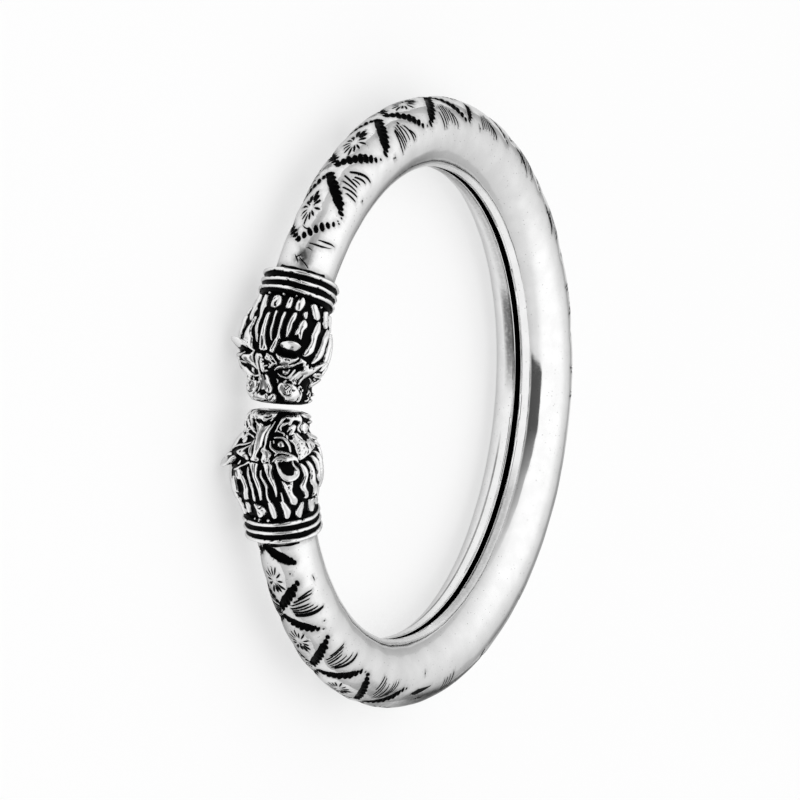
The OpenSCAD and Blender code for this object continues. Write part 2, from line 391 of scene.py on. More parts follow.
# Leaves between the diamonds, as lines side by side: angle and turn of each line's open end,
# then of the ends towards the outer line, and the half width of the last line, the heaviest.
# The first column is 1 on the left half and -1 on the right half
LEAVES = [
    (1, [(44.9, 70), (46, 68), (46.8, 61), (47.7, 58), (48.7, 60), (50, 68), (51.4, 75)],
     [(44.9, 48), (45.7, 37), (46.9, 31), (48.2, 28), (48.5, 44), (49.2, 45), (49.6, 33)], 0.19),
    (1, [(65, 85), (66, 81), (66.7, 78), (67.4, 73), (68.7, 73), (70.2, 79), (71, 76)],
     [(66, 46), (66.4, 44), (67, 42), (67.8, 41), (68.4, 45), (69.4, 48), (70.2, 60)], 0.08),
    (1, [(83, 78), (84, 75), (84.8, 71), (85.5, 68), (86.5, 73), (87.5, 76), (88.7, 79)],
     [(83, 52), (84.2, 42), (84.9, 40), (85.5, 40), (86.3, 45), (87.0, 50), (87.7, 57)], 0.08),
    (1, [(99.7, 75), (100.6, 72), (101.6, 71), (102.6, 72), (103.7, 74), (104.7, 77), (105.8, 79)],
     [(99.9, 54), (100.5, 51), (101.2, 49), (102.0, 49), (102.7, 51), (103.2, 54), (103.8, 57)], 0.18),
    (-1, [(37.7, 59), (38.4, 57), (39.3, 50), (40.4, 46), (41.1, 53), (42, 60), (43, 70)],
     [(38.4, 30), (39.1, 20), (39.8, 14), (40.5, 11), (41.0, 12), (41.4, 13), (42.1, 15)], 0.28),
    (-1, [(55.1, 72), (55.6, 68), (56.3, 62), (57, 57), (58.3, 63), (59.5, 72), (60.9, 80)],
     [(55.3, 40), (55.9, 31), (56.6, 28), (57.3, 27), (58.0, 28), (58.6, 29), (59.3, 33)], 0.24),
    (-1, [(74.3, 79), (75.3, 77), (75.9, 69), (77.3, 66), (78.8, 73), (79.6, 76), (80.5, 78)],
     [(74.1, 52), (74.9, 41), (75.6, 37), (76.4, 37), (77.2, 39), (78.0, 42), (79.0, 48)], 0.13),
    (-1, [(100.6, 72), (101.7, 73), (102.9, 75), (104.2, 77)],
     [(100.3, 50), (101.2, 49), (102.4, 51), (103.6, 55)], 0.12),
]
# The leaf that repeats round the back, from its middle angle
LEAF_OPEN = [(-3.0, 77), (-2.1, 73), (-1.0, 69), (0.1, 67), (1.2, 70), (2.2, 74), (3.1, 78)]
LEAF_TIP = [(-2.6, 50), (-1.7, 42), (-0.8, 39), (0.0, 38), (0.8, 41), (1.6, 46), (2.3, 55)]
LEAF_HEAVY = 0.15

# Lines cut one by one near the collars, and scratches of the finishing: angle, turn, half width
STRAY_LINES = [
    [(31.7, 23, 0.09), (31.9, 44, 0.13), (32.4, 60, 0.05), (32.7, 66, 0.02)],
    [(32.9, 36, 0.05), (33.1, 50, 0.14), (33.4, 62, 0.13), (33.5, 72, 0.03)],
    [(28.6, 12, 0.04), (28.1, 18, 0.08), (27.6, 26, 0.10), (26.9, 34, 0.05)],
    [(28.9, 2, 0.04), (28.2, 8, 0.10), (27.5, 13, 0.05)],
    [(30.4, 32, 0.03), (30.7, 24, 0.08), (30.6, 20, 0.03)],
    [(28.4, 4, 0.05), (28.6, 8, 0.09), (29.0, 14, 0.04)],
    [(35.2, -6, 0.03), (34.6, 4, 0.10), (34.9, 12, 0.03)],
    [(-29.2, 6, 0.07), (-29.0, 2, 0.05), (-29.4, -1, 0.03)],
    [(-36.2, 71, 0.04), (-35.6, 71, 0.08), (-35.0, 70, 0.04)],
    [(-94.8, 70, 0.03), (-92.0, 66, 0.28), (-89.6, 62, 0.42), (-88.3, 60, 0.25)],
    [(-94.0, 49, 0.04), (-91.4, 47, 0.15), (-88.8, 46, 0.05)],
    [(-111.6, 30, 0.04), (-109.4, 40, 0.13), (-107.0, 52, 0.05)],
    [(-124.6, 31, 0.05), (-121.0, 40, 0.34), (-118.0, 52, 0.42), (-117.0, 62, 0.30), (-119.0, 72, 0.05)],
    [(-138.6, 40, 0.04), (-136.4, 50, 0.22), (-135.2, 60, 0.20), (-135.6, 70, 0.04)],
    [(116.0, 62, 0.12), (118.4, 65, 0.30), (120.4, 72, 0.26), (122.0, 82, 0.05)],
    [(133.5, 75, 0.08), (136.4, 77, 0.30), (138.8, 80, 0.26), (140.2, 87, 0.05)],
    [(121.4, 27, 0.08), (124.5, 25, 0.27), (128.0, 21, 0.26), (130.5, 15, 0.05)],
    [(138.0, 37, 0.08), (140.4, 36, 0.27), (143.0, 35, 0.20), (145.0, 31, 0.05)],
]


# Stain by the upper collar: angle and turn of its middle, how far it reaches in each
STAIN = (28.8, 19, 2.0, 14)
# Greyer sheet, as the photograph shows it, partly dull silver and partly painted shade that stands
# for darker reflections: from angle to angle (below 0 on the right half), from turn to turn, greyness
DULL_AND_SHADE = [
    # angles, turns, greyness
    (20, 84, 109, 150, 0.26),
    (-174, -112, 4, 80, 0.34),
    (-124, -82, -20, 62, 0.95),
    (-88, -64, 0, 66, 0.40),
    (60, 180, -180, -157, 0.24),
    (148, 179, -184, -156, 0.95),
    (18, 40, 2, 44, 0.42),
    (-62, -24, -64, 30, 0.20),
    (-172, -100, -160, -155, 0.90),
    (-164, -104, 156, 180, 0.30),
]

# Black line of painted shade on the tube, in the gap behind a collar, left and right: from turn, to
# turn, half width, and how far it stands off the collar
GAPS = [(-24, 80, 0.16, 0.25), (-14, 64, 0.17, 0.40)]


class Marks:
    """Punch marks on the tube. Each one adds points to the mesh where its edge runs, and is then
    read at every point as a depth and as a distance inside its black edge, in millimetres."""
    x_scale, y_scale = 0.66, 0.075
    soft_edge = 0.09
    valley_w = 0.95

    def __init__(self, hoop):
        self.hoop, self.ovals, self.lines, self.valleys, self.spots = hoop, [], [], [], []

    def scale(self, angle, turn):
        """Millimetres per degree along the hoop and round the section."""
        reach = self.hoop.tube_mid(angle) + self.hoop.half_w(angle) * math.cos(math.radians(turn))
        return math.radians(reach), math.radians(self.hoop.half_h(angle) * 1.04)

    def oval(self, angle, turn, along_r, across_r, way, depth):
        kx, ky = self.scale(angle, turn)
        self.ovals.append((angle, turn, along_r, across_r, way, depth, kx, ky))
        for q, count in ((0.0, 1), (0.5, 6), (0.85, 10), (1.0, 12), (1.25, 12)):
            for k in range(count):
                f = 2 * math.pi * (k + 0.5 * (q < 1)) / count
                x, y = q * along_r * math.cos(f), q * across_r * math.sin(f)
                self.spots.append((angle + (x * math.cos(way) - y * math.sin(way)) / kx,
                                   turn + (x * math.sin(way) + y * math.cos(way)) / ky))

    def line(self, points, depth):
        """Line of points: angle, turn, half width."""
        rows = np.array(points, float)
        start, (kx, ky) = rows[0, :2].copy(), self.scale(*rows[0, :2])
        rows[:, :2] = (rows[:, :2] - start) * (kx, ky)
        path = smooth_path(rows, 3)
        self.lines.append((start, path, depth, kx, ky))
        for k, (x, y, half) in enumerate(path):
            ahead = path[min(k + 1, len(path) - 1), :2] - path[max(k - 1, 0), :2]
            side = np.array([-ahead[1], ahead[0]]) / max(1e-9, math.hypot(*ahead))
            for step in (-half - self.soft_edge, -half, 0.0, half, half + self.soft_edge):
                self.spots.append((start[0] + (x + side[0] * step) / kx,
                                   start[1] + (y + side[1] * step) / ky))

    def bar(self, a0, t0, a1, t1, beads, width, overlap=1.05, smooth=0):
        """Row of bead punches in a valley of the sheet, apart at the end towards the wrist. A
        smooth bar's edge on the side of the gap is one line."""
        kx, ky = self.scale((a0 + a1) / 2, (t0 + t1) / 2)
        dx, dy = (a1 - a0) * kx, (t1 - t0) * ky
        way, long = math.atan2(dy, dx), math.hypot(dx, dy)
        lean = BEAD_LEANS[t1 > t0]
        spine = []
        out = -1 if (dy < 0) == (a0 < BACK) else 1
        for k in range(beads):
            f = k / (beads - 1)
            last = ramp((f if t1 > t0 else 1 - f) - 0.74, 0.26)
            thick = width / 2 * (0.66 + 0.34 * math.sin(math.pi * (0.1 + 0.8 * f))) * (1 - 0.3 * last)
            thick *= 1 + 0.06 * (-1) ** k
            angle, turn = a0 + (a1 - a0) * f, t0 + (t1 - t0) * f
            self.oval(angle, turn, long / (beads - 1) / 2 * overlap * (1 - 0.3 * last),
                      thick / math.cos(lean) ** 0.8, way + lean + 0.1 * math.sin(k * 2.3), self.hoop.punch)
            off = out * 0.42 * thick
            spine.append((angle - off * dy / long / kx, turn + off * dx / long / ky,
                          thick * 0.56 * (1 - 0.8 * last)))
        if smooth:
            self.line(spine, self.hoop.punch)
        self.valleys.append((a0, t0, a1, t1, kx, ky))

    def speck(self, angle, turn, radius):
        self.oval(angle, turn, radius, radius * 1.2, 0.3, self.hoop.punch * 0.5)

    def flower(self, angle, turn, long_r, wide_r, petals, half):
        """Ring of petals round an open middle, cut deeper on the side away from the gap."""
        kx, ky = self.scale(angle, turn)
        away = 1 if angle < BACK else -1
        for k in range(petals):
            f = 2 * math.pi * (k + 0.15 * math.sin(5.0 * k)) / petals
            reach = 0.92 + 0.14 * math.sin(2.1 * k + angle)
            bold = 1.2 * half * (1 + 0.30 * away * math.cos(f))
            path = [(angle + long_r * r * reach * math.cos(f) / kx,
                     turn + wide_r * r * reach * math.sin(f) / ky, bold * share)
                    for r, share in ((0.45, 0.45), (0.76, 1.0), (1.0, 0.75))]
            self.line(path, self.hoop.punch * 0.7)

    def leaf(self, open_ends, tips, heavy):
        """Lines side by side, closer at the tips, with the last one cut heavier."""
        for k, ((a0, t0), (a1, t1)) in enumerate(zip(open_ends, tips)):
            half = 0.142 + 0.02 * math.sin(2.7 * k)
            if k == len(tips) - 1:
                half = max(half, heavy)
            bow = 0.22 * (a1 - a0)
            path = [(a0, t0, half * 0.6),
                    (a0 + 0.25 * (a1 - a0) - bow, 0.75 * t0 + 0.25 * t1, half * 0.95),
                    (a0 + 0.6 * (a1 - a0) - bow, 0.4 * t0 + 0.6 * t1, half),
                    (a1, t1, half * 0.85)]
            self.line(path, self.hoop.punch * 0.6)

    def fan(self, angle, turn):
        """Small fan punch on the outer line, where two diamonds meet."""
        kx, ky = self.scale(angle, turn)
        for k in range(4):
            r = 0.3 + 0.27 * k
            self.line([(angle + r * math.cos(f) / kx, turn - r * math.sin(f) / ky, 0.055)
                       for f in (0.2, 0.9, 1.6)], self.hoop.punch * 0.5)

    def read(self, angle, turn):
        """Depth, and distance inside the marks' black edge, at each point."""
        depth = np.zeros_like(angle)
        black = np.full_like(angle, -1.0)
        order = np.argsort(angle)
        sorted_angle = angle[order]

        def near(low, high):
            return order[np.searchsorted(sorted_angle, low):np.searchsorted(sorted_angle, high)]

        for a0, t0, a1, t1, kx, ky in self.valleys:
            pick = near(min(a0, a1) - 4, max(a0, a1) + 4)
            x, y = (angle[pick] - a0) * kx, (turn[pick] - t0) * ky
            _, away = from_line(x, y, 0, 0, (a1 - a0) * kx, (t1 - t0) * ky)
            depth[pick] = np.maximum(depth[pick], self.hoop.pillow * np.exp(-(away / self.valley_w) ** 2))
        pressed = np.zeros_like(angle)
        for a0, t0, along_r, across_r, way, deep, kx, ky in self.ovals:
            pick = near(a0 - 2.5, a0 + 2.5)
            x, y = (angle[pick] - a0) * kx, (turn[pick] - t0) * ky
            u = (x * math.cos(way) + y * math.sin(way)) / along_r
            v = (y * math.cos(way) - x * math.sin(way)) / across_r
            q = np.hypot(u, v)
            pressed[pick] = np.maximum(pressed[pick], deep * np.clip(1 - q ** 3, 0, 1))
            black[pick] = np.maximum(black[pick], (1 - q) * min(along_r, across_r))
        for start, path, deep, kx, ky in self.lines:
            pick = near(start[0] + path[:, 0].min() / kx - 1, start[0] + path[:, 0].max() / kx + 1)
            x, y = (angle[pick] - start[0]) * kx, (turn[pick] - start[1]) * ky
            inside = np.full(len(pick), -1.0)
            for (x0, y0, w0), (x1, y1, w1) in zip(path, path[1:]):
                f, away = from_line(x, y, x0, y0, x1, y1)
                inside = np.maximum(inside, w0 + (w1 - w0) * f - away)
            pressed[pick] = np.maximum(pressed[pick], deep * np.clip(inside / self.soft_edge, 0, 1))
            black[pick] = np.maximum(black[pick], inside)
        return depth + pressed, black


def all_marks(hoop):
    """The whole pattern: what the tables say, its repeats at the back and the far side's copy."""
    marks = Marks(hoop)
    bars = [(a0 % 360, t0, a1 % 360, *rest) for a0, t0, a1, *rest in BARS]
    flowers = [(a % 360, *rest) for a, *rest in FLOWERS]
    leaves = [([(half * a % 360, t) for a, t in ends], [(half * a % 360, t) for a, t in tips], heavy)
              for half, ends, tips, heavy in LEAVES]
    fans = list(FANS)
    for k in range(REPEATS):
        corner = CORNER_FIRST + CORNER_PITCH * k
        bars += [(corner + 0.6, 9, corner + 7.6, 66, 8, 0.95),
                 (corner + 10.2, 52, corner + CORNER_PITCH - 0.7, 9, 8, 0.95)]
        flowers.append((corner + CORNER_PITCH / 2, 4, 2.45, 1.3, 13, 0.15))
        middle = corner + CORNER_PITCH - 0.4
        leaves.append(([(middle + a, t) for a, t in LEAF_OPEN], [(middle + a, t) for a, t in LEAF_TIP],
                       LEAF_HEAVY))
        fans.append(corner)
    for bar in bars:
        marks.bar(*bar)
        a0, t0, a1, t1, beads, width = bar[:6]
        fold = 2 * min(t0, t1, 12) - CORNER_GAP
        marks.bar(a0, fold - t0, a1, fold - t1, beads, width * 0.9, 0.9)
    for flower in flowers:
        marks.flower(*flower)
    for ends, tips, heavy in leaves:
        marks.leaf(ends, tips, heavy)
        marks.leaf([(a, -4 - t) for a, t in ends], [(a, -4 - t) for a, t in tips], heavy)
    for angle in fans:
        marks.fan(angle, -10)
    for angle, turn, radius in SPECKS:
        marks.speck(angle % 360, turn, radius)
    # Painted shade: a black line on the tube beside each collar
    for (side, wear), (first, last, half, stand) in zip(COLLARS.items(), GAPS):
        line = []
        for turn in range(first, last, 8):
            beyond = collar_span(hoop, turn, *wear[:3])[1] + stand + 0.33 * ((turn - 20) / 65) ** 2
            away = hoop.collar_a + (beyond + half / 2) * hoop.deg_per_mm
            place = away if side == "left" else 360 - away
            line.append((place, turn, half * (1 + 0.3 * math.sin(0.19 * turn))))
        marks.line(line, hoop.punch * 0.3)
    for path in STRAY_LINES:
        marks.line([(a % 360, t, half) for a, t, half in path], hoop.punch * 0.45)
    return marks


def tube_chart(hoop, marks):
    """Points of the tube's outside on a flat chart: a plain lattice, closer at the creases of the
    flat band, with the marks' own points in it. Returns angles, turns and triangles."""
    first, last = hoop.tube_a, 360 - hoop.tube_a
    edge = hoop.chart_edge
    stations = np.linspace(first, last, hoop.stations)
    half = np.r_[np.arange(0, 150, 6), 151, 155, 158, 160.5, 163, 166, 170, edge]
    rounds = np.r_[-half[:0:-1], half]
    spots = np.array(marks.spots)
    inside = ((spots[:, 0] > first + 0.4) & (spots[:, 0] < last - 0.4)
              & (np.abs(spots[:, 1]) < edge - 2))
    spots = spots[inside]
    scale = np.array([marks.x_scale, marks.y_scale])
    merge, crowd = 0.05, 0.25
    cell = np.round(spots * scale / merge).astype(np.int64)
    kept = spots[np.sort(np.unique(cell, axis=0, return_index=True)[1])]
    a, t = np.meshgrid(stations, rounds, indexing="ij")
    lattice = np.stack([a.ravel(), t.ravel()], -1)
    rim = ((lattice[:, 0] == first) | (lattice[:, 0] == last) | (np.abs(lattice[:, 1]) == edge))
    taken = set(map(tuple, np.round(kept * scale / crowd).astype(np.int64)))
    crowded = np.array([tuple(c) in taken for c in np.round(lattice * scale / crowd).astype(np.int64)])
    chart = np.concatenate([lattice[rim], lattice[~rim & ~crowded], kept])
    flat = [Vector(p) for p in (chart * scale).tolist()]
    verts, _, faces, *_ = delaunay_2d_cdt(flat, [], [], 0, 1e-7, False)
    chart = np.array([tuple(v) for v in verts]) / scale
    return chart[:, 0], chart[:, 1], np.array(faces, np.int32), stations, rounds


def tube_mesh(hoop):
    """Points, faces and attribute values of the whole tube, outside, seam and inside."""
    marks = all_marks(hoop)
    angle, turn, triangles, stations, rounds = tube_chart(hoop, marks)
    depth, black = marks.read(angle, turn)
    x, y = angle * marks.x_scale, turn * marks.y_scale
    wide = 1 - ramp(np.abs(turn) - 120, 30)
    # Soft unevenness of the sheet, less of it on the side of the wrist
    lift = (0.010 * ripples(x, y, 2.2, 3) * wide + 0.004 * ripples(x, y, 1.0, 5)
            + 0.014 * ripples(x, y, 5.0, 11) - depth)
    seam_turn = turn / hoop.chart_edge * hoop.seam_turn(angle)
    outside = hoop.at(angle, *hoop.section(angle, seam_turn, lift))
    stain_angle, stain_turn, stain_long, stain_wide = STAIN
    greying = np.exp(-((angle - stain_angle) / stain_long) ** 2 - ((turn - stain_turn) / stain_wide) ** 2)
    # Painted shade: the sheet greys towards each collar, where the gap beside it lies in shade
    from_collar = 9.0
    for away, (side, wear) in zip((angle, 360 - angle), COLLARS.items()):
        end = collar_span(hoop, turn, *wear[:3])[1]
        from_collar = np.minimum(from_collar, (away - hoop.collar_a) / hoop.deg_per_mm - end)
    blotch = ramp(ripples(x * 1.6, y, 0.55, 8) + 0.55, 0.8)
    smudge = np.maximum.reduce([1.5 * greying * blotch, 0.9 * np.exp(-(from_collar - 0.3).clip(0) / 0.25),
                                0.28 * np.exp(black / 0.14)])
    folded = np.where(angle > BACK, angle - 360, angle)
    # Greyer stretches of sheet: partly dull silver, partly painted shade
    for a0, a1, t0, t1, grey in DULL_AND_SHADE:
        soft = min(8.0, (t1 - t0) / 2)
        within = ramp(folded - a0, 8) * ramp(a1 - folded, 14) * ramp(turn - t0, soft) * ramp(t1 - turn, soft)
        smudge = np.maximum(smudge, grey * within * (1 + 0.12 * ripples(x * 0.08, y, 0.3, 9)))

    points, faces, blacks = [outside], [triangles], [black]

    def add_row(out, up, black_there):
        """One more line of points along the hoop; returns their indexes."""
        count = sum(map(len, points))
        points.append(hoop.at(stations, out, up))
        blacks.append(np.full(len(stations), black_there))
        return np.arange(count, count + len(stations))

    def join(low, high, way):
        """Squares between two lines of points; a way of -1 turns them over."""
        faces.append(np.stack([low[:-1], low[1:], high[1:], high[:-1]], -1)[:, ::way])

    # Rounded lips of the seam: bend of each line, and how far it lies in the black
    lips = {}
    for side in (1, -1):
        rim = np.flatnonzero(np.abs(turn - side * hoop.chart_edge) < 1e-3)
        rows = [rim[np.argsort(angle[rim])]]
        for bend, black_there in ((30, -1.0), (60, 0.0), (90, 0.1)):
            c, s = math.cos(math.radians(bend)), math.sin(math.radians(bend))
            out = hoop.lip_round * (1 - c) - hoop.flat_share * hoop.half_w(stations)
            up = np.full(len(stations), hoop.seam / 2 + hoop.lip_round * (1 - s))
            rows.append(add_row(out, side * up, black_there))
        for low, high in zip(rows, rows[1:]):
            join(low, high, -side)
        lips[side] = rows[-1]
    # Inside of the sheet, from one lip to the other
    inner = []
    for value in rounds[::-1]:
        out, up = hoop.section(stations, value / hoop.chart_edge * hoop.seam_turn(stations),
                               0.0, hoop.wall)
        if abs(value) == hoop.chart_edge:
            up = np.full(len(stations), math.copysign(hoop.seam / 2, value))
        inner.append(add_row(out, up, 0.3))
    chain = [lips[1], *inner, lips[-1]]
    for low, high in zip(chain, chain[1:]):
        join(low, high, -1)
    # Both ends of the tube are closed between the sheet's outside and its inside
    for end, way in ((0, 1), (-1, -1)):
        rim = np.flatnonzero(np.abs(angle - stations[end]) < 1e-3)
        rim = rim[np.argsort(-turn[rim])]
        join(rim, np.array([row[end] for row in inner]), way)
    whole = np.concatenate(points)
    smudge = np.r_[smudge, np.zeros(len(whole) - len(smudge))]
    return whole, faces, np.concatenate(blacks), smudge


# Lion heads

# Profile of a head: distance from the muzzle, radius
PROFILE = [
    (0.00, 2.75), (0.12, 3.20), (0.50, 3.42), (1.30, 3.58), (2.20, 3.68), (3.10, 4.25),
    (4.00, 4.80), (4.90, 5.30), (5.70, 5.55), (6.60, 5.65), (7.50, 5.66), (8.40, 5.56),
    (9.30, 5.30), (10.2, 5.00), (11.0, 4.75), (11.7, 4.62)]
# How far a section's middle lies out from the collar's: distance from the muzzle, offset
RISE = [
    (0.00, -0.45), (3.00, -0.45), (4.00, -0.30), (5.00, 0.00),
    (6.60, 0.25), (9.00, 0.40), (10.5, 0.10), (11.7, 0.00)]
# Broad forms under the fine ones, the same on both cheeks
FORMS = [
    # from muzzle, turn, half length, half turn, height, flatness
    (0.85, 0, 0.60, 19, 0.42, 2),      # nose tip
    (2.30, 0, 0.90, 13, 0.35, 1),      # top of the nose
    (3.70, 0, 1.60, 7, 0.35, 2),       # bridge
    (3.10, 17, 1.60, 6, -0.35, 1),     # side of the nose
    (1.50, 46, 1.00, 18, 0.30, 2),     # whisker pad
    (3.40, 34, 0.75, 15, -0.45, 2),    # eye socket
    (4.55, 37, 0.45, 20, 0.30, 2),     # brow
    (3.50, 64, 1.00, 11, 0.25, 1),     # cheek
    (2.50, 104, 0.80, 16, -0.45, 1),   # corner of the mouth
    (1.20, 150, 1.00, 45, 0.25, 1),    # chin
]
# Where the mane starts, by the turn from the nose line
MANE_START = [(0, 5.2), (58, 5.2), (85, 4.3), (120, 3.2), (180, 2.6)]
# Rows of a head's mesh: where the closer rows of the face end, and how many lie before and after.
# Its columns: from turn, to turn, step
FACE_END, FACE_ROWS, MANE_ROWS = 5.3, 116, 106
COLUMNS = [(-116, -60, 1.1), (-60, 104, 0.6), (104, 244, 1.6)]
# Black ground between the silver: its depth on the face, the mane depth at which it lies as deep
# there, where the neck starts and how much deeper it is
GROUND, FACE_CUT, NECK_START, NECK_DROP = -0.16, 0.12, 11.2, 0.1
# Where the tufts start, and the height above which what stands up leans back to the collar
TUFT_START, LEAN_START = 9.2, 0.45

# Locks of the mane, tufts before the collar: distance from the muzzle, turn, half width in degrees
LOCKS_RIGHT = dict(
    temple_line=[(5.15, -8, 1.5), (5.5, -14, 2.2), (5.85, -24, 2.8), (6.2, -32, 2.6), (6.4, -35, 1.5)],
    temple=[(6.1, -26, 1.5), (6.4, -26, 4.6), (6.8, -26, 5), (7.15, -24, 2.2)],
    temple_tail=[(6.6, -20.5, 1.8), (7, -17.5, 2.6), (7.5, -13.6, 2.3), (8, -12.4, 2.4), (8.6, -13.8, 2.5),
        (9.25, -15.2, 2.2)],
    temple_wisp=[(5.2, -24, 0.8), (5.75, -30, 0.8)],
    side=[(6.9, -36, 1.6), (7.4, -34, 2.2), (8, -33, 2.3), (8.7, -31, 1.6)],
    left_of_nose=[(5.7, -9, 0.6), (6.35, -8, 0.9), (6.9, -5.5, 1.1), (7.5, -2.8, 1.2), (8.1, -1.2, 1),
        (8.6, -1.2, 1.2), (9.3, -1.2, 1.1)],
    crown=[(5.2, -1.7, 5.2), (5.5, -1.5, 4.7), (5.95, 0, 3.2), (6.5, 1.8, 2.3), (7.1, 5, 2.5),
        (7.5, 6.8, 2.5), (8.1, 8.6, 2), (8.5, 9, 1.7), (9.1, 8.7, 1)],
    right_of_nose=[(5.85, 9.6, 0.6), (6.5, 10.6, 1), (7, 14.3, 1.4), (7.5, 17.4, 1.4), (8.1, 17.5, 1),
        (8.7, 18, 1.1), (9.3, 20, 1.6)],
    by_ear=[(5.2, 17, 4.2), (5.5, 19, 5.2), (6, 19.6, 3.8), (6.5, 21.8, 3.2), (7, 24.5, 2.9),
        (7.5, 27.4, 2.1), (8, 28.8, 1.7), (8.75, 29.8, 0.6)],
    behind_ear=[(7.35, 45, 3.6), (7.55, 45.2, 5.4), (8.05, 45.8, 3.9), (8.5, 47.5, 3.6), (9.1, 52, 4.4),
        (9.6, 53.4, 4.4), (9.95, 53.4, 2.4)],
    ear_prong=[(6.95, 37.6, 1), (7.25, 39.4, 1.9), (7.6, 42, 2.4), (7.9, 43.5, 1.5)],
    ear_prong_right=[(7.05, 50, 0.8), (7.3, 49.3, 1.6), (7.7, 48.3, 2)],
    wisp=[(8.2, 35.6, 0.6), (8.75, 37, 1), (9.3, 38, 1.2)],
    cheek_a=[(5.3, 60.5, 2.2), (5.8, 66, 2.9), (6.35, 69.5, 3), (6.8, 70.5, 2.6), (7.35, 68.1, 3),
        (7.95, 66.1, 3.4), (8.4, 68.5, 3.1), (8.9, 72.8, 2.6), (9.3, 73.3, 2), (9.55, 71, 1.2)],
    cheek_b=[(5.2, 72.5, 2.2), (5.75, 78.2, 2.9), (6.35, 82, 2.9), (6.9, 83.2, 3), (7.4, 83.2, 3.9),
        (7.95, 85.5, 3.6), (8.5, 90.5, 3.5), (9, 93, 3.5), (9.4, 91.5, 3.4), (9.7, 85.5, 2)],
    cheek_c=[(4.75, 82.5, 2), (5.3, 89.9, 3.2), (5.95, 94.8, 3.1), (6.6, 97, 2.6), (7.3, 97.2, 3),
        (7.8, 100.3, 3.1), (8.3, 105.2, 2.8), (9.2, 108, 2.4)],
    jaw=[(4.4, 92, 2.5), (5, 104, 4.4), (5.95, 108, 4.4), (6.6, 110, 3.8), (7.4, 113.5, 4.2),
        (8.2, 118, 3.8), (9.3, 121, 2.6)],
    tuft_1=[(9.45, -16, 1.6), (10.1, -19, 2.9), (10.85, -22, 2.7)],
    tuft_2=[(9.5, -2.7, 1.6), (9.8, 1, 4.6), (10.4, 2.5, 6.2), (10.8, 0.5, 5.2), (11.15, -1.5, 2.6)],
    tuft_3=[(9.25, 19.8, 2.4), (9.95, 20.6, 3.5), (10.6, 21, 3.8), (11.25, 22, 3)],
    tuft_4=[(9.25, 36.1, 2.2), (9.9, 38.9, 3.7), (10.6, 41.5, 4.8), (11.45, 40.1, 3.2)],
    tuft_5=[(9.8, 66.3, 0.9), (10.5, 63.5, 4.2), (11.25, 60.5, 5.2), (11.75, 60.5, 3)],
    tuft_6=[(9.9, 84, 4.8), (10.5, 86, 5.4), (11.25, 88.4, 5.6), (11.75, 86.6, 3.6)],
    tuft_7=[(9.95, 95.2, 1.2), (10.6, 101, 3.2), (11.5, 106, 3.4)],
)
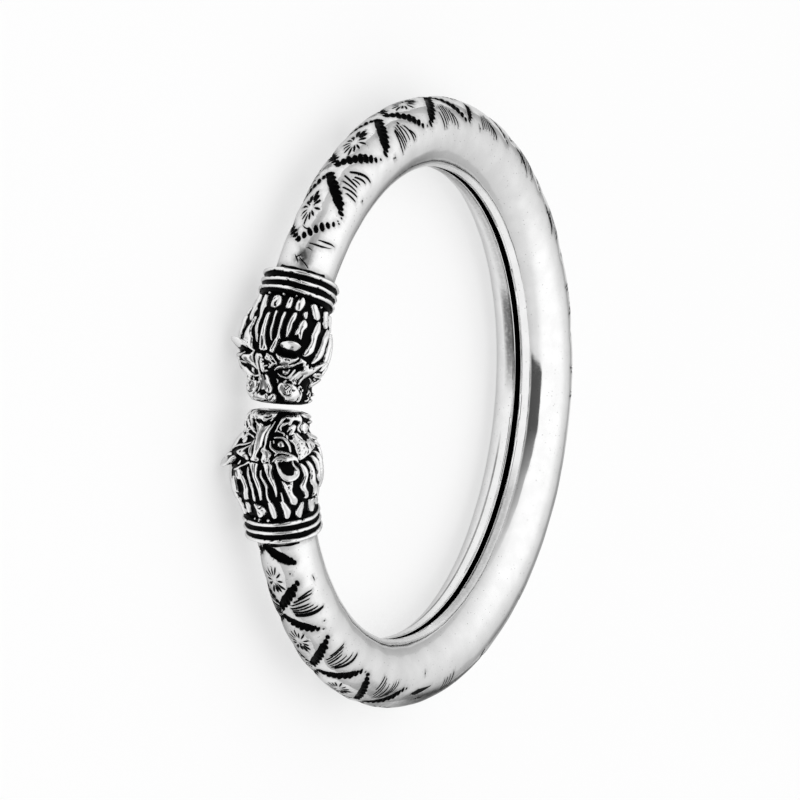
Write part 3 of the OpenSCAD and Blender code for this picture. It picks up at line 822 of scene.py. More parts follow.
LOCKS_LEFT = dict(
    temple=[(5.2, -12, 1.4), (5.6, -21, 4), (6, -26.5, 6.4), (6.6, -26.5, 6.6), (7, -28, 4.8),
        (7.7, -23.4, 2.7), (8.2, -19.6, 1.6), (8.8, -18.4, 1)],
    side=[(8.3, -25, 1.4), (9, -29, 2.4), (9.6, -31, 3), (10.6, -35, 2.8)],
    left_of_nose=[(6.1, -8.4, 0.7), (6.8, -9.7, 1.2), (7.5, -11.4, 1.4), (8.1, -11.2, 1.2), (8.7, -10, 1.1),
        (9.4, -12.4, 2), (9.95, -15.4, 3.4), (10.5, -18, 3.4), (11.3, -20, 2.2)],
    crown=[(5.35, 0.4, 4.4), (5.7, 0.4, 4.8), (6.1, -0.6, 3.8), (6.8, -1, 2.7), (7.5, -0.9, 2.4),
        (8.1, -0.5, 2.1), (8.75, 0, 2), (9.35, 0.6, 1)],
    right_of_nose=[(6.4, 12, 0.6), (7.1, 10, 1), (7.6, 9.7, 1.2), (8.3, 10.5, 0.9), (8.9, 10.2, 1),
        (9.6, 10, 1.4)],
    by_ear=[(5.25, 12.5, 2.4), (5.6, 13.6, 2.7), (6, 16, 2.6), (6.5, 18.4, 2.4), (6.8, 20, 2.3),
        (7.1, 20, 1.5), (7.5, 19.8, 1.2), (8, 20.3, 1.3), (8.6, 20.8, 1.5), (9.15, 21.5, 1.8),
        (9.6, 22, 1.4)],
    ear_wisp=[(6.9, 30, 0.7), (7.5, 31, 2), (8, 31.7, 2.7), (8.5, 32.4, 2.4), (9, 34.5, 2.9),
        (9.75, 36, 2)],
    ear_prong=[(7.3, 40.6, 1), (7.6, 42.2, 1.9), (8, 44, 2.2), (8.3, 45.5, 1.2)],
    behind_ear=[(6.95, 47.5, 1.2), (7.5, 46.9, 2.2), (8, 46.8, 3.4), (8.5, 49.5, 4.4), (8.9, 50.4, 3.6),
        (9.25, 50, 1)],
    cheek_a=[(5.35, 56.5, 2.6), (5.95, 63, 4.4), (6.5, 65.5, 3.6), (7, 67, 3), (7.95, 68.1, 3.4),
        (8.5, 71.4, 3.8), (9, 73, 3), (9.6, 73, 1.2)],
    cheek_b=[(4.75, 69.5, 1.8), (5.3, 77, 3.6), (6, 82.1, 4.4), (7, 85.5, 3.4), (8, 89.5, 4),
        (8.5, 93.8, 3.7), (9, 96.7, 2.9), (9.3, 97.6, 1.6)],
    cheek_c=[(4.6, 88, 2.4), (5, 95.5, 3.6), (6, 99.8, 4.1), (6.75, 102, 3.3), (7.4, 103.4, 3),
        (8.1, 106.7, 3), (9.1, 111, 2.6)],
    jaw=[(4.2, 96, 2.6), (4.9, 106, 3.8), (5.9, 114, 3.8), (7, 118, 3.4), (8.2, 122, 3.2), (9.3, 125, 2.4)],
    tuft_2=[(9.75, 2, 2.2), (10.1, 3, 5), (10.7, 2.6, 6), (11.1, 2.4, 4.8), (11.3, 3, 2.6)],
    tuft_3=[(9.9, 23, 2.8), (10.4, 23.2, 3.2), (11, 23.4, 2.9), (11.35, 23.4, 1.6)],
    tuft_4=[(9.9, 37.6, 3), (10.5, 38.6, 4.9), (11.1, 39.6, 5.1), (11.6, 40, 2.6)],
    tuft_5=[(9.3, 51, 1.2), (9.8, 50, 2.8), (10.2, 50.6, 1.4)],
    tuft_6=[(9.6, 68, 2.6), (10.1, 68.5, 4.8), (10.5, 67, 5.4), (11, 63.5, 5.4), (11.4, 61, 2.6)],
    tuft_7=[(9.1, 87, 1.4), (9.6, 89.8, 4.4), (10.3, 90.8, 5.3), (11, 90.2, 5.2), (11.4, 89, 2.2)],
    tuft_8=[(9.6, 103, 2.4), (10.4, 106, 3.6), (11.4, 108, 3)],
)
# Locks that the far side repeats, where the camera hardly sees it
FAR_LOCKS = ("behind_ear", "cheek_a", "cheek_b", "cheek_c", "jaw", "tuft_4", "tuft_5", "tuft_6", "tuft_7",
             "tuft_8")

# Marks of the face, each with its height, depth or darkness. A patch is a flat area of bright
# silver: points round its edge, distance from the muzzle and turn. A ridge stands proud, a cut is
# sunk and black, a shade is a grey dent whose grey is painted shade, for a dark reflection in the
# silver: points along it, distance, turn and half width. What is raised comes before what is cut
# into it. A mark is made once, where it lies, or on both cheeks
ONCE, BOTH = (1,), (1, -1)
FACE_RIGHT = [("patch", ONCE, dict(
    nose_pad=(0.36, (0.1, -20), (0.24, -17), (0.3, -10), (0.25, -5), (0.36, -1.5), (0.26, 1), (0.14, 4),
        (0.1, 12), (0.06, 20), (0.08, 25), (0.28, 24.3), (0.46, 22.6), (0.62, 20), (0.66, 17), (0.74, 13),
        (0.84, 10), (0.98, 7.8), (1.07, 5), (1.02, 2), (0.88, -0.5), (0.84, -4), (0.87, -8), (0.82, -12.5),
        (0.72, -17), (0.58, -20), (0.35, -21.3)),
    far_lip=(0.18, (0.06, -46), (0.06, -36), (0.08, -28), (0.3, -26.5), (0.6, -23), (0.8, -19.6),
        (0.95, -18.6), (1.06, -21.5), (1, -25), (0.88, -31), (0.72, -36.5), (0.5, -40.5), (0.3, -44)),
    bridge=(0.3, (1.1, -20.5), (1.24, -15.5), (1.27, -9.5), (1.38, -6.5), (1.26, -3), (1.32, -0.5),
        (1.52, 2), (1.52, 7), (1.42, 11.5), (1.34, 14.2), (1.52, 13.5), (1.72, 11.5), (1.95, 9.3), (2.3, 7),
        (2.7, 6.2), (3.2, 6), (3.6, 6), (3.82, 4.2), (4.2, 3), (4.55, 2.6), (4.68, 4.8), (4.9, 6.8),
        (5.04, 5), (4.95, 1.5), (4.95, -2), (4.82, -4.4), (4.6, -3), (4.3, -2.6), (3.9, -3.2), (3.5, -4.8),
        (3, -5.6), (2.4, -6.2), (2.05, -7), (1.85, -8.8), (1.6, -12), (1.42, -15.5), (1.26, -19.5)),
    crescent=(0.24, (3.05, -14), (3.2, -17), (3.5, -18.7), (3.85, -19), (4.1, -17.5), (4.35, -13.5),
        (4.64, -7), (4.6, -5.3), (4.4, -6.8), (4.1, -9.8), (3.85, -11.6), (3.5, -12.1), (3.4, -14.5),
        (3.2, -12.8)),
    far_brow=(0.22, (3.72, -20), (3.88, -25), (4.05, -29.5), (4.25, -33), (4.45, -33), (4.6, -29),
        (4.72, -24), (4.86, -17), (5.02, -10), (4.93, -8.4), (4.72, -10.6), (4.6, -14), (4.5, -17.5),
        (4.34, -19.3), (4.36, -22.5), (4.28, -24), (4.05, -23.3), (3.9, -21)),
    eyeball=(0.24, (3.11, 33.5), (3.2, 36.5), (3.4, 38.5), (3.66, 39.4), (3.72, 36.5), (3.7, 32),
        (3.58, 29.3), (3.38, 27.8), (3.2, 30.3)),
    brow=(0.3, (5.1, 23.5), (4.85, 24.7), (4.62, 27.2), (4.45, 31), (4.38, 36), (4.45, 41), (4.5, 45.5),
        (4.62, 50), (4.85, 54), (5.12, 57), (5.15, 55.5), (4.95, 51.5), (5, 49), (4.95, 46.5), (5.05, 44.5),
        (5.2, 42), (5.36, 40), (5.25, 38.5), (5.1, 36), (5.12, 31), (5.22, 28.5), (5.05, 27), (4.95, 25.6)),
    leaf=(0.28, (3.68, 8.3), (3.85, 6.3), (4.1, 6.3), (4.3, 8.8), (4.6, 9.1), (4.9, 9.3), (5.15, 11.8),
        (5.2, 14), (5.03, 16.5), (4.98, 19.3), (4.7, 19.8), (4.47, 21.2), (4.3, 20.9), (4.05, 15.9),
        (3.8, 11.2)),
)), ("patch", BOTH, dict(
    pad_top=(0.3, (0.42, 42), (0.32, 47.5), (0.38, 51), (0.26, 57), (0.4, 60.5), (0.26, 63), (0.12, 66),
        (0.08, 73), (0.5, 75.6), (0.95, 75), (1.2, 73.3), (1.38, 70.5), (1.2, 69.6), (1, 70.6), (0.95, 67),
        (0.85, 62), (0.84, 57), (0.98, 53), (1.2, 50.7), (1.4, 48), (1.3, 45), (1.05, 46.3), (0.8, 47.6),
        (0.72, 45), (0.62, 42)),
    pad_low=(0.26, (1.5, 46.5), (1.42, 50), (1.28, 53), (1.3, 58), (1.45, 60.2), (1.75, 58.6), (2, 57),
        (2.15, 55.5), (2.17, 58.5), (2.3, 59.3), (2.4, 55.5), (2.47, 50.5), (2.42, 47.2), (2.2, 47),
        (2.05, 49.3), (1.85, 48.3), (2, 45.2), (2.17, 43.2), (1.98, 43.4), (1.75, 45.6), (1.6, 45.8)),
    mouth_bead=(0.36, (1.06, 79), (1.13, 84), (1.35, 89.5), (1.55, 93), (1.75, 94), (1.95, 92), (2.2, 88.8),
        (2.37, 84), (2.4, 80), (2.25, 76.6), (2, 73), (1.75, 71.2), (1.5, 71.5), (1.3, 73), (1.15, 76.8)),
    cheek=(0.26, (2.3, 55.5), (2.35, 59.5), (2.6, 61), (2.8, 63.7), (3, 67.3), (3.03, 71), (3.14, 74),
        (3.24, 76.5), (3.14, 79), (3.03, 81), (3.03, 85), (2.93, 88), (2.98, 91.3), (2.75, 92.6),
        (2.52, 92.5), (2.48, 95), (2.8, 97), (3.2, 98), (3.6, 99.5), (3.72, 95.3), (3.66, 93.5),
        (3.95, 92.6), (4.02, 89), (4.12, 86), (4.22, 82.5), (4.28, 80.5), (4.42, 78), (4.53, 74.5),
        (4.68, 69.5), (4.83, 65.5), (4.95, 61.5), (4.98, 59), (4.82, 57.2), (4.45, 56.7), (4.25, 55.6),
        (3.95, 54.7), (3.65, 54.3), (3.35, 52.8), (3.2, 50.8), (3, 48), (2.84, 45.4), (2.95, 49),
        (2.75, 53), (2.55, 52)),
)), ("ridge", ONCE, dict(
    philtrum=(0.12, (0.95, 14.6, 0.07), (0.82, 16.2, 0.08), (0.7, 17.8, 0.05)),
    side_line=(0.22, (1.02, 22, 0.04), (1.3, 19.3, 0.06), (1.6, 16.3, 0.08), (1.9, 13, 0.09),
        (2.2, 10.9, 0.11), (2.6, 9.5, 0.12), (3, 9.2, 0.11), (3.35, 9.6, 0.07), (3.7, 9.4, 0.05)),
    far_side_line=(0.12, (1.5, -17.8, 0.04), (1.9, -16.5, 0.07), (2.3, -13.5, 0.08), (2.6, -11.6, 0.12),
        (2.85, -11.3, 0.09)),
    far_lower_lid=(0.14, (3, -18.5, 0.06), (2.9, -21.5, 0.09), (2.78, -27, 0.1), (2.72, -33, 0.11),
        (2.76, -40, 0.11), (2.95, -46, 0.12), (3.3, -49.5, 0.11)),
    far_upper_lid=(0.24, (3.48, -22.5, 0.06), (3.66, -29, 0.08), (3.8, -36, 0.09), (3.92, -44, 0.1),
        (4.2, -51, 0.1), (4.7, -57, 0.1), (5.1, -59, 0.07)),
    far_eyeball=(0.22, (3.32, -42, 0.24), (3.46, -44, 0.24)),
    far_pad_edge=(0.2, (1.1, -44, 0.16), (1.35, -37.5, 0.17), (1.65, -33.5, 0.18), (1.9, -30.5, 0.17),
        (2.08, -27, 0.13), (2.3, -22, 0.1), (2.47, -16.5, 0.06)),
    far_pad_base=(0.16, (1.95, -35, 0.08), (2.12, -39, 0.12), (2.3, -45, 0.14), (2.5, -50, 0.12)),
    lower_lid=(0.16, (2.78, 21.5, 0.07), (2.74, 26, 0.09), (2.73, 32, 0.1), (2.8, 36.5, 0.11),
        (2.95, 40.5, 0.12), (3.15, 43.5, 0.13), (3.4, 46, 0.12), (3.7, 47.3, 0.1), (4.07, 47.3, 0.08)),
    upper_lid=(0.3, (3.12, 16, 0.05), (3.35, 16.5, 0.05), (3.55, 16.6, 0.08), (3.75, 18.5, 0.08),
        (3.95, 23, 0.08), (4.08, 28, 0.1), (4.12, 33, 0.09), (4.17, 38, 0.09), (4.25, 43, 0.09),
        (4.4, 47, 0.1), (4.6, 51, 0.11), (4.85, 54.5, 0.11), (5.15, 56.5, 0.07)),
    lid_tip=(0.26, (4.15, 29.5, 0.06), (4.28, 27.3, 0.09), (4.37, 26.5, 0.07)),
    tear=(0.04, (3.12, 20.5, 0.07), (3.3, 21.4, 0.08)),
    leaf_foot=(0.2, (4.82, 20.4, 0.05), (5, 20.3, 0.06), (5.15, 20.6, 0.07)),
)), ("ridge", BOTH, dict(
    pad_edge=(0.22, (0.62, 39, 0.12), (0.8, 35, 0.16), (1.05, 32, 0.15), (1.25, 30, 0.11),
        (1.5, 27.4, 0.08), (1.75, 26.2, 0.07), (1.95, 24.5, 0.09), (2.12, 23, 0.11)),
    pad_inner=(0.22, (1.05, 47, 0.12), (1.12, 42, 0.15), (1.3, 37, 0.15), (1.5, 33, 0.11),
        (1.65, 31.7, 0.1), (1.9, 33.3, 0.07)),
    pad_base=(0.08, (2.05, 27.5, 0.09), (2.12, 31, 0.06), (2.2, 36, 0.07), (2.35, 39, 0.06),
        (2.52, 38.5, 0.06)),
    lip_line=(0.26, (1.35, 68.5, 0.14), (1.6, 65.5, 0.17), (1.8, 65.3, 0.17), (2, 67.5, 0.13),
        (2.17, 70.7, 0.09)),
    cheek_line=(0.12, (2.28, 61.8, 0.08), (2.5, 64, 0.1), (2.75, 67.4, 0.09), (2.95, 69.6, 0.06)),
    cheek_fill=(0.06, (2.5, 43, 0.07), (2.7, 44, 0.08), (2.9, 44.5, 0.06)),
    jaw_bow=(0.24, (2.55, 101, 0.22), (2.8, 107, 0.24), (3.1, 116, 0.24), (3.3, 128, 0.22)),
    jaw_edge=(0.2, (3.6, 101, 0.12), (3.8, 106, 0.16), (4.1, 113, 0.18)),
    chin_lip=(0.2, (0.12, 81, 0.13), (0.27, 87, 0.2), (0.4, 95, 0.24), (0.46, 106, 0.28), (0.5, 130, 0.26),
        (0.5, 165, 0.26)),
    chin_low=(0.14, (1.15, 96, 0.06), (1.15, 112, 0.14), (1.3, 135, 0.24), (1.4, 165, 0.28)),
)), ("cut", ONCE, dict(
    nostril=(0.14, (0.63, 5, 0.06), (0.6, 9.5, 0.09), (0.49, 13, 0.11), (0.43, 14.8, 0.1)),
    far_brow_dot=(0.12, (4.34, -27, 0.09), (4.36, -26, 0.1)),
    brow_dot=(0.12, (4.86, 27.4, 0.06), (4.92, 27.4, 0.06)),
    brow_slit=(0.12, (4.9, 37.2, 0.05), (5.05, 38.7, 0.05)),
    brow_fold=(0.12, (4.3, 31.5, 0.05), (4.28, 36, 0.06), (4.33, 40, 0.07), (4.4, 44, 0.06)),
    lock_slit=(0.12, (5.4, 20, 0.06), (5.75, 20.6, 0.11), (6.1, 20.3, 0.08), (6.5, 22, 0.04)),
    mane_spot_top=(0.12, (7.66, 45.5, 0.07), (7.74, 44.6, 0.09)),
    mane_spot=(0.12, (8.02, 46.5, 0.05), (8.06, 47, 0.04)),
    mane_spot_low=(0.12, (8.28, 45.6, 0.07), (8.34, 45.6, 0.06)),
    tuft_notch=(0.12, (9.8, -1, 0.05), (10, 2.6, 0.1), (9.75, 6.4, 0.05)),
    tuft_spot=(0.12, (10.15, 5.5, 0.05), (10.2, 6.6, 0.04)),
    leaf_split=(0.1, (4.68, 16.2, 0.04), (4.85, 17.3, 0.05)),
)), ("cut", BOTH, dict(
    pad_dot=(0.12, (0.8, 46.2, 0.08), (0.93, 45, 0.09), (0.98, 41, 0.06), (1.02, 36.5, 0.05)),
    bead_seam=(0.12, (1.6, 70, 0.07), (1.68, 70, 0.07)),
    bead_seam_low=(0.12, (1.92, 71, 0.06), (1.98, 71.6, 0.06)),
    cheek_crease=(0.12, (2.4, 54.4, 0.05), (2.47, 52.5, 0.07), (2.52, 51, 0.04)),
    cheek_slash=(0.12, (3.33, 72.2, 0.08), (3.6, 73.3, 0.09), (3.9, 75, 0.06)),
    cheek_slash_low=(0.12, (4.1, 73.7, 0.05), (4.35, 72.4, 0.08)),
    cheek_slash_end=(0.12, (4.17, 68.7, 0.06), (4.4, 66.3, 0.06)),
    jaw_dot=(0.12, (3.75, 87.6, 0.07), (3.82, 87.3, 0.07)),
)), ("shade", ONCE, dict(
    nose_top=(0.8, (0.24, 6, 0.12), (0.3, 11, 0.14)),
    nose_low=(0.6, (0.57, -15, 0.04), (0.68, -8.5, 0.06)),
    nose_drop=(0.5, (0.78, 4.6, 0.06), (0.86, 4.6, 0.06)),
    far_lip_top=(0.6, (0.18, -30, 0.1), (0.35, -31, 0.12)),
    far_lip_low=(0.9, (0.72, -29, 0.07), (0.88, -24.5, 0.05)),
    bridge_top=(0.7, (1.72, 3, 0.26), (2.2, 1.2, 0.24), (2.8, 1, 0.2), (3.4, 1, 0.16), (3.9, 1, 0.08)),
    bridge_dent=(1, (1.66, -6.3, 0.07), (1.75, -6, 0.05)),
    bridge_foot=(0.9, (4.8, 4.2, 0.07), (4.85, 5, 0.05)),
    crescent_edge=(0.9, (3.65, -13.4, 0.09), (4, -12.4, 0.12), (4.3, -9.6, 0.06)),
    far_brow_line=(1, (4.52, -17, 0.05), (4.66, -19, 0.05), (4.8, -14, 0.05)),
    pupil=(1.6, (3.36, 32.8, 0.09), (3.5, 33.4, 0.11)),
    brow_band=(0.8, (4.9, 26.5, 0.04), (4.65, 29.4, 0.07), (4.55, 34, 0.09), (4.62, 40, 0.07)),
    brow_middle=(0.9, (4.8, 34.5, 0.1), (4.92, 33.5, 0.12)),
    crown_slit=(1.2, (5.35, -1, 0.05), (5.6, -0.8, 0.1), (6.1, 0.6, 0.06)),
    temple_grey=(0.9, (6.3, -29, 0.08), (6.5, -26, 0.14), (6.75, -25, 0.1)),
    tuft_grey=(1.1, (10.4, -0.5, 0.06), (10.6, 1.5, 0.05)),
    leaf_middle=(0.9, (4.08, 12.6, 0.05), (4.38, 16, 0.14), (4.6, 17, 0.11)),
    leaf_low=(1, (4.86, 13, 0.05), (5, 14, 0.06)),
)), ("shade", BOTH, dict(
    pad_hollow=(0.9, (0.62, 42, 0.07), (0.78, 41, 0.1), (0.85, 39, 0.07)),
    pad_corner=(0.5, (0.28, 66.5, 0.09), (0.38, 66.8, 0.09)),
    pad_low_dot=(1.6, (1.78, 50, 0.06), (1.84, 50, 0.06)),
    bead_dots=(1.2, (1.62, 86.3, 0.06), (1.68, 86.3, 0.06)),
    bead_dots_low=(1.2, (2.08, 82, 0.06), (2.13, 82, 0.06)),
    cheek_top=(0.9, (2.62, 54, 0.06), (2.8, 51, 0.06), (2.9, 47, 0.05)),
    cheek_side=(1.3, (3.5, 80.8, 0.05), (3.75, 82, 0.06), (4, 81.8, 0.05)),
    cheek_end=(0.6, (3.1, 88, 0.08), (3.25, 91, 0.12), (3.45, 94, 0.08)),
))]
DENTS_RIGHT = [
    # from muzzle, turn, radius
    (3.42, 57.2, 0.08), (3.75, 57.6, 0.08), (4.05, 58.2, 0.08), (4.37, 58.5, 0.07), (3.30, 64.0, 0.07),
    (3.76, 66.0, 0.08), (2.98, 61.0, 0.04), (4.0, 62.0, 0.04), (4.62, 62.5, 0.04), (3.55, 69.5, 0.04),
]
FACE_LEFT = [("patch", ONCE, dict(
    nose_pad=(0.34, (0.1, -50), (0.18, -30), (0.22, -14), (0.13, -8), (0.1, 0), (0.03, 8), (0.1, 15),
        (0.35, 19.5), (0.75, 20.6), (1, 18.9), (1.11, 15.5), (1, 12.3), (0.88, 10.3), (0.8, 8.7),
        (0.88, 6.5), (1.03, 4.8), (1.03, 2.8), (0.93, 1.3), (0.88, -0.5), (0.8, -3.5), (0.84, -7),
        (1.04, -10), (0.97, -12.5), (0.92, -15), (0.96, -18), (1.14, -21.5), (1.05, -25), (0.85, -28.5),
        (0.65, -33.3), (0.5, -37), (0.42, -43), (0.38, -50)),
    bridge=(0.24, (1.1, 8.3), (1.2, 11.5), (1.5, 12.5), (1.75, 11.5), (2.05, 9.2), (2.3, 7.8), (2.65, 7),
        (2.95, 5.2), (3.04, 3.7), (2.9, 2.5), (2.6, 3.6), (2.45, 3), (2.42, 0.8), (2.7, 0.5), (2.97, -1),
        (2.9, -3), (2.5, -4), (2.78, -5.3), (2.92, -7.7), (2.6, -9.7), (2.25, -12), (2.15, -16.3),
        (1.8, -17.2), (1.45, -18.2), (1.08, -20.5), (1.33, -16.8), (1.48, -13), (1.4, -9), (1.38, -5),
        (1.43, -1), (1.28, 2), (1.13, 5)),
    far_band=(0.3, (2.3, -17.6), (2.55, -16), (2.9, -15.4), (3.2, -15.8), (3.5, -15.2), (3.8, -15.2),
        (4.05, -14.7), (4.2, -12.2), (4.5, -10.8), (4.75, -9.8), (4.95, -7.3), (5.04, -5), (4.97, -2.5),
        (5, 0), (4.88, 1.7), (4.66, 2), (4.6, 0.6), (4.74, -1.3), (4.5, -3.3), (4.2, -6.3), (3.9, -8.1),
        (3.5, -8.1), (3.2, -6.8), (2.9, -5.8), (2.6, -4.8), (2.2, -5.3), (2.2, -8), (2.45, -10),
        (2.6, -11.5), (2.35, -13)),
    branch=(0.28, (3.16, 0), (3.25, 2.3), (3.3, 4.4), (3.43, 6.6), (3.48, 4.5), (3.44, 2.8), (3.7, 2.1),
        (3.74, 3.6), (3.84, 6), (3.97, 7.4), (3.94, 4.5), (3.87, 2.2), (4, 3), (4.16, 2.6), (4.17, 0.5),
        (4.3, 0.7), (4.4, 2.9), (4.5, 2.2), (4.57, 0), (4.4, -1.6), (4.1, -3), (3.7, -3.2), (3.4, -2.5),
        (3.23, -1.3)),
    knot=(0.26, (4.2, 13.8), (4.33, 11), (4.4, 8), (4.48, 5.5), (4.65, 4.6), (4.85, 6), (5.14, 7.8),
        (5.02, 9.7), (4.95, 12.2), (4.9, 14.6), (4.66, 16.3), (4.52, 14.4), (4.5, 12)),
    far_brow=(0.28, (3.38, -17.3), (3.55, -20), (3.75, -23.5), (3.9, -27.3), (4.05, -31), (4.3, -33),
        (4.55, -34.3), (4.7, -32), (4.84, -29), (4.86, -24), (4.88, -20), (4.98, -16.5), (5.14, -13.5),
        (5.16, -11.3), (4.95, -12.4), (4.75, -14.6), (4.55, -16.2), (4.3, -17.5), (4, -18), (3.7, -17.8)),
    far_base=(0.12, (1.98, -30.5), (1.98, -35), (2.1, -38.5), (2.3, -40), (2.4, -44), (2.6, -47),
        (2.4, -49), (2.25, -44), (2.36, -36), (2.33, -30), (2.26, -27), (2.1, -27.5)),
    eyeball=(0.22, (3.2, 32.5), (3.24, 35), (3.4, 37.3), (3.6, 38.9), (3.84, 39.8), (3.82, 38.3),
        (3.66, 36.8), (3.64, 34), (3.62, 31), (3.7, 29.3), (3.56, 27.8), (3.4, 28), (3.28, 29.5)),
    brow=(0.32, (5.2, 19.3), (4.95, 19.8), (4.78, 20.7), (4.6, 22.8), (4.5, 25.2), (4.36, 24.3),
        (4.24, 23.7), (4.24, 26.5), (4.12, 29), (4, 31), (3.97, 36), (4.05, 40), (4.18, 43.2), (4.32, 45.4),
        (4.42, 45.2), (4.38, 42.6), (4.27, 39.4), (4.17, 36.6), (4.24, 35.6), (4.38, 37.6), (4.55, 41),
        (4.7, 44), (4.85, 46.2), (5, 48.3), (5.18, 47.6), (5.12, 45.7), (4.99, 43.2), (4.91, 40),
        (4.89, 36), (4.89, 32), (4.92, 28), (5, 24.5), (5.07, 22)),
)), ("patch", BOTH, dict(
    whisker_pad=(0.28, (0.42, 37.5), (0.35, 44), (0.33, 50), (0.36, 57), (0.52, 59.8), (0.66, 60.8),
        (0.84, 62), (1, 66), (1.2, 65), (1.4, 62.5), (1.6, 60), (1.8, 56.7), (1.92, 54.6), (2.07, 54),
        (2.17, 51), (2.27, 46), (2.32, 41), (2.3, 36), (2.34, 31), (2.3, 25), (2.12, 21.8), (1.8, 21),
        (1.5, 22.5), (1.25, 25.2), (1.05, 28.2), (0.85, 32), (0.74, 34.5)),
    cheek=(0.3, (2.32, 56.5), (2.33, 58.7), (2.6, 60.1), (2.85, 61), (3.05, 62.6), (3.25, 65.2),
        (3.5, 69.2), (3.75, 74.2), (4, 78.2), (4.25, 80.8), (4.5, 84.3), (4.8, 90.5), (5.1, 96.5),
        (5.3, 101), (5.42, 95), (5.25, 90.6), (5.05, 86.6), (4.85, 82.2), (4.65, 78.2), (4.44, 73.4),
        (4.16, 72.8), (4.22, 70.7), (4.44, 69.5), (4.3, 67.7), (4.16, 65.5), (4.3, 63.4), (4.5, 63.1),
        (4.63, 61.8), (4.46, 60.2), (4.5, 58.6), (4.78, 59.4), (4.9, 57), (5.02, 53), (5.12, 51),
        (4.95, 50.3), (4.75, 49.3), (4.6, 46.8), (4.4, 45.2), (4.44, 48.2), (4.58, 51), (4.62, 54),
        (4.5, 55), (4.27, 52.8), (4.3, 55.5), (4.05, 57.2), (3.9, 55.8), (3.82, 53), (3.6, 50),
        (3.35, 47.7), (3.1, 44.8), (2.9, 42), (2.66, 40.2), (2.58, 43.5), (2.44, 45.5), (2.31, 46.3),
        (2.31, 50), (2.26, 53.5), (2.46, 52.9), (2.78, 52.6), (3, 54.6), (3.25, 57), (3.45, 59.4),
        (3.2, 59), (2.8, 57.3), (2.5, 56.4)),
    jaw_bar=(0.18, (3.5, 79.5), (3.48, 84), (3.4, 89), (3.43, 95), (3.5, 102), (3.9, 103), (3.97, 93),
        (3.95, 88), (3.86, 84.3), (3.9, 81.7), (3.72, 78.7)),
)), ("ridge", ONCE, dict(
    knot_line=(0.24, (3.74, 8.2, 0.07), (3.9, 10.3, 0.07), (4.05, 12.3, 0.09), (4.18, 14.5, 0.1),
        (4.28, 13.2, 0.09)),
    knot_right=(0.24, (4.18, 14.6, 0.06), (4.2, 19, 0.07), (4.35, 18.5, 0.08), (4.5, 17, 0.07),
        (4.66, 15.8, 0.06)),
    knot_spot=(0.12, (4.05, 9, 0.06), (4.12, 9, 0.06)),
    far_lower_lid=(0.16, (2.98, -17, 0.06), (2.88, -20, 0.09), (2.82, -26, 0.1), (2.85, -33, 0.11),
        (2.95, -40, 0.13), (3.1, -46, 0.12), (3.6, -50, 0.09)),
    far_eyeball=(0.22, (3.36, -33, 0.22), (3.5, -31, 0.18)),
    far_lid_line=(0.24, (5.1, -27, 0.05), (4.95, -30.5, 0.08), (4.86, -36, 0.11), (4.8, -43, 0.17),
        (4.86, -50, 0.2)),
    far_lid=(0.2, (4.12, -36, 0.06), (4.14, -41, 0.1), (4.2, -48, 0.11)),
    far_pad_edge=(0.18, (1, -48, 0.1), (1.1, -42, 0.14), (1.3, -36.5, 0.15), (1.55, -32, 0.18),
        (1.75, -29, 0.18), (1.95, -25, 0.13), (2.15, -21.3, 0.11), (2.38, -17.3, 0.1)),
    lower_lid=(0.18, (3.27, 20.5, 0.05), (3.15, 22, 0.08), (3.03, 25, 0.08), (2.98, 29, 0.08),
        (2.92, 33, 0.1), (2.93, 37, 0.11), (3.05, 40.5, 0.12), (3.25, 42.5, 0.11), (3.45, 44, 0.1),
        (3.65, 45.5, 0.09), (3.85, 46.4, 0.05)),
    upper_lid=(0.28, (3.55, 15.5, 0.05), (3.7, 17.5, 0.07), (3.85, 20.5, 0.09), (3.96, 25, 0.1),
        (3.98, 29, 0.1), (4.05, 33, 0.08)),
)), ("ridge", BOTH, dict(
    pad_ring=(0.3, (1.62, 30.3, 0.07), (1.38, 31.2, 0.07), (1.22, 34, 0.05), (1.4, 37, 0.05)),
    pad_tongue=(0.28, (1.75, 35.8, 0.06), (1.86, 36, 0.07)),
    pad_bright=(0.32, (1.6, 44.6, 0.08), (1.76, 41.9, 0.09)),
    lip_line=(0.26, (0.4, 62.5, 0.1), (0.5, 65.2, 0.14), (0.75, 67.5, 0.17), (1, 68, 0.18),
        (1.25, 68, 0.13), (1.45, 66.5, 0.1), (1.62, 63.8, 0.07)),
    lip_hook=(0.22, (1.78, 60, 0.08), (1.95, 58.5, 0.11), (2.1, 60.4, 0.11), (2.16, 62.6, 0.1),
        (2, 65.3, 0.06)),
    hem_left=(0.06, (2.3, 20.2, 0.06), (2.5, 20.1, 0.08), (2.66, 18.2, 0.06)),
    hem_right=(0.1, (2.28, 30.8, 0.09), (2.5, 33.6, 0.08), (2.66, 35.6, 0.05)),
    mouth_dot=(0.08, (1.66, 71, 0.13), (1.76, 71.2, 0.13)),
    jaw_wisp=(0.1, (3.15, 73.5, 0.05), (3.08, 78, 0.08), (2.95, 82, 0.09), (2.84, 84.5, 0.07)),
    jaw_wisp_low=(0.12, (2.75, 88, 0.06), (2.68, 92, 0.1), (2.85, 95, 0.08)),
    jaw_line=(0.12, (3.2, 87, 0.05), (3.15, 92, 0.08), (3.1, 98, 0.1)),
    lip_far_arc=(0.08, (0.52, 84, 0.05), (0.52, 90, 0.08), (0.7, 95.5, 0.11), (0.92, 94, 0.07),
        (1, 90, 0.04)),
    lip_low_arc=(0.1, (1.35, 87, 0.09), (1.55, 90.5, 0.11), (1.72, 95, 0.13), (1.5, 99, 0.1),
        (1.15, 97.5, 0.12)),
    lip_end=(0.1, (2.5, 91, 0.05), (2.35, 96, 0.09), (2.2, 101, 0.1)),
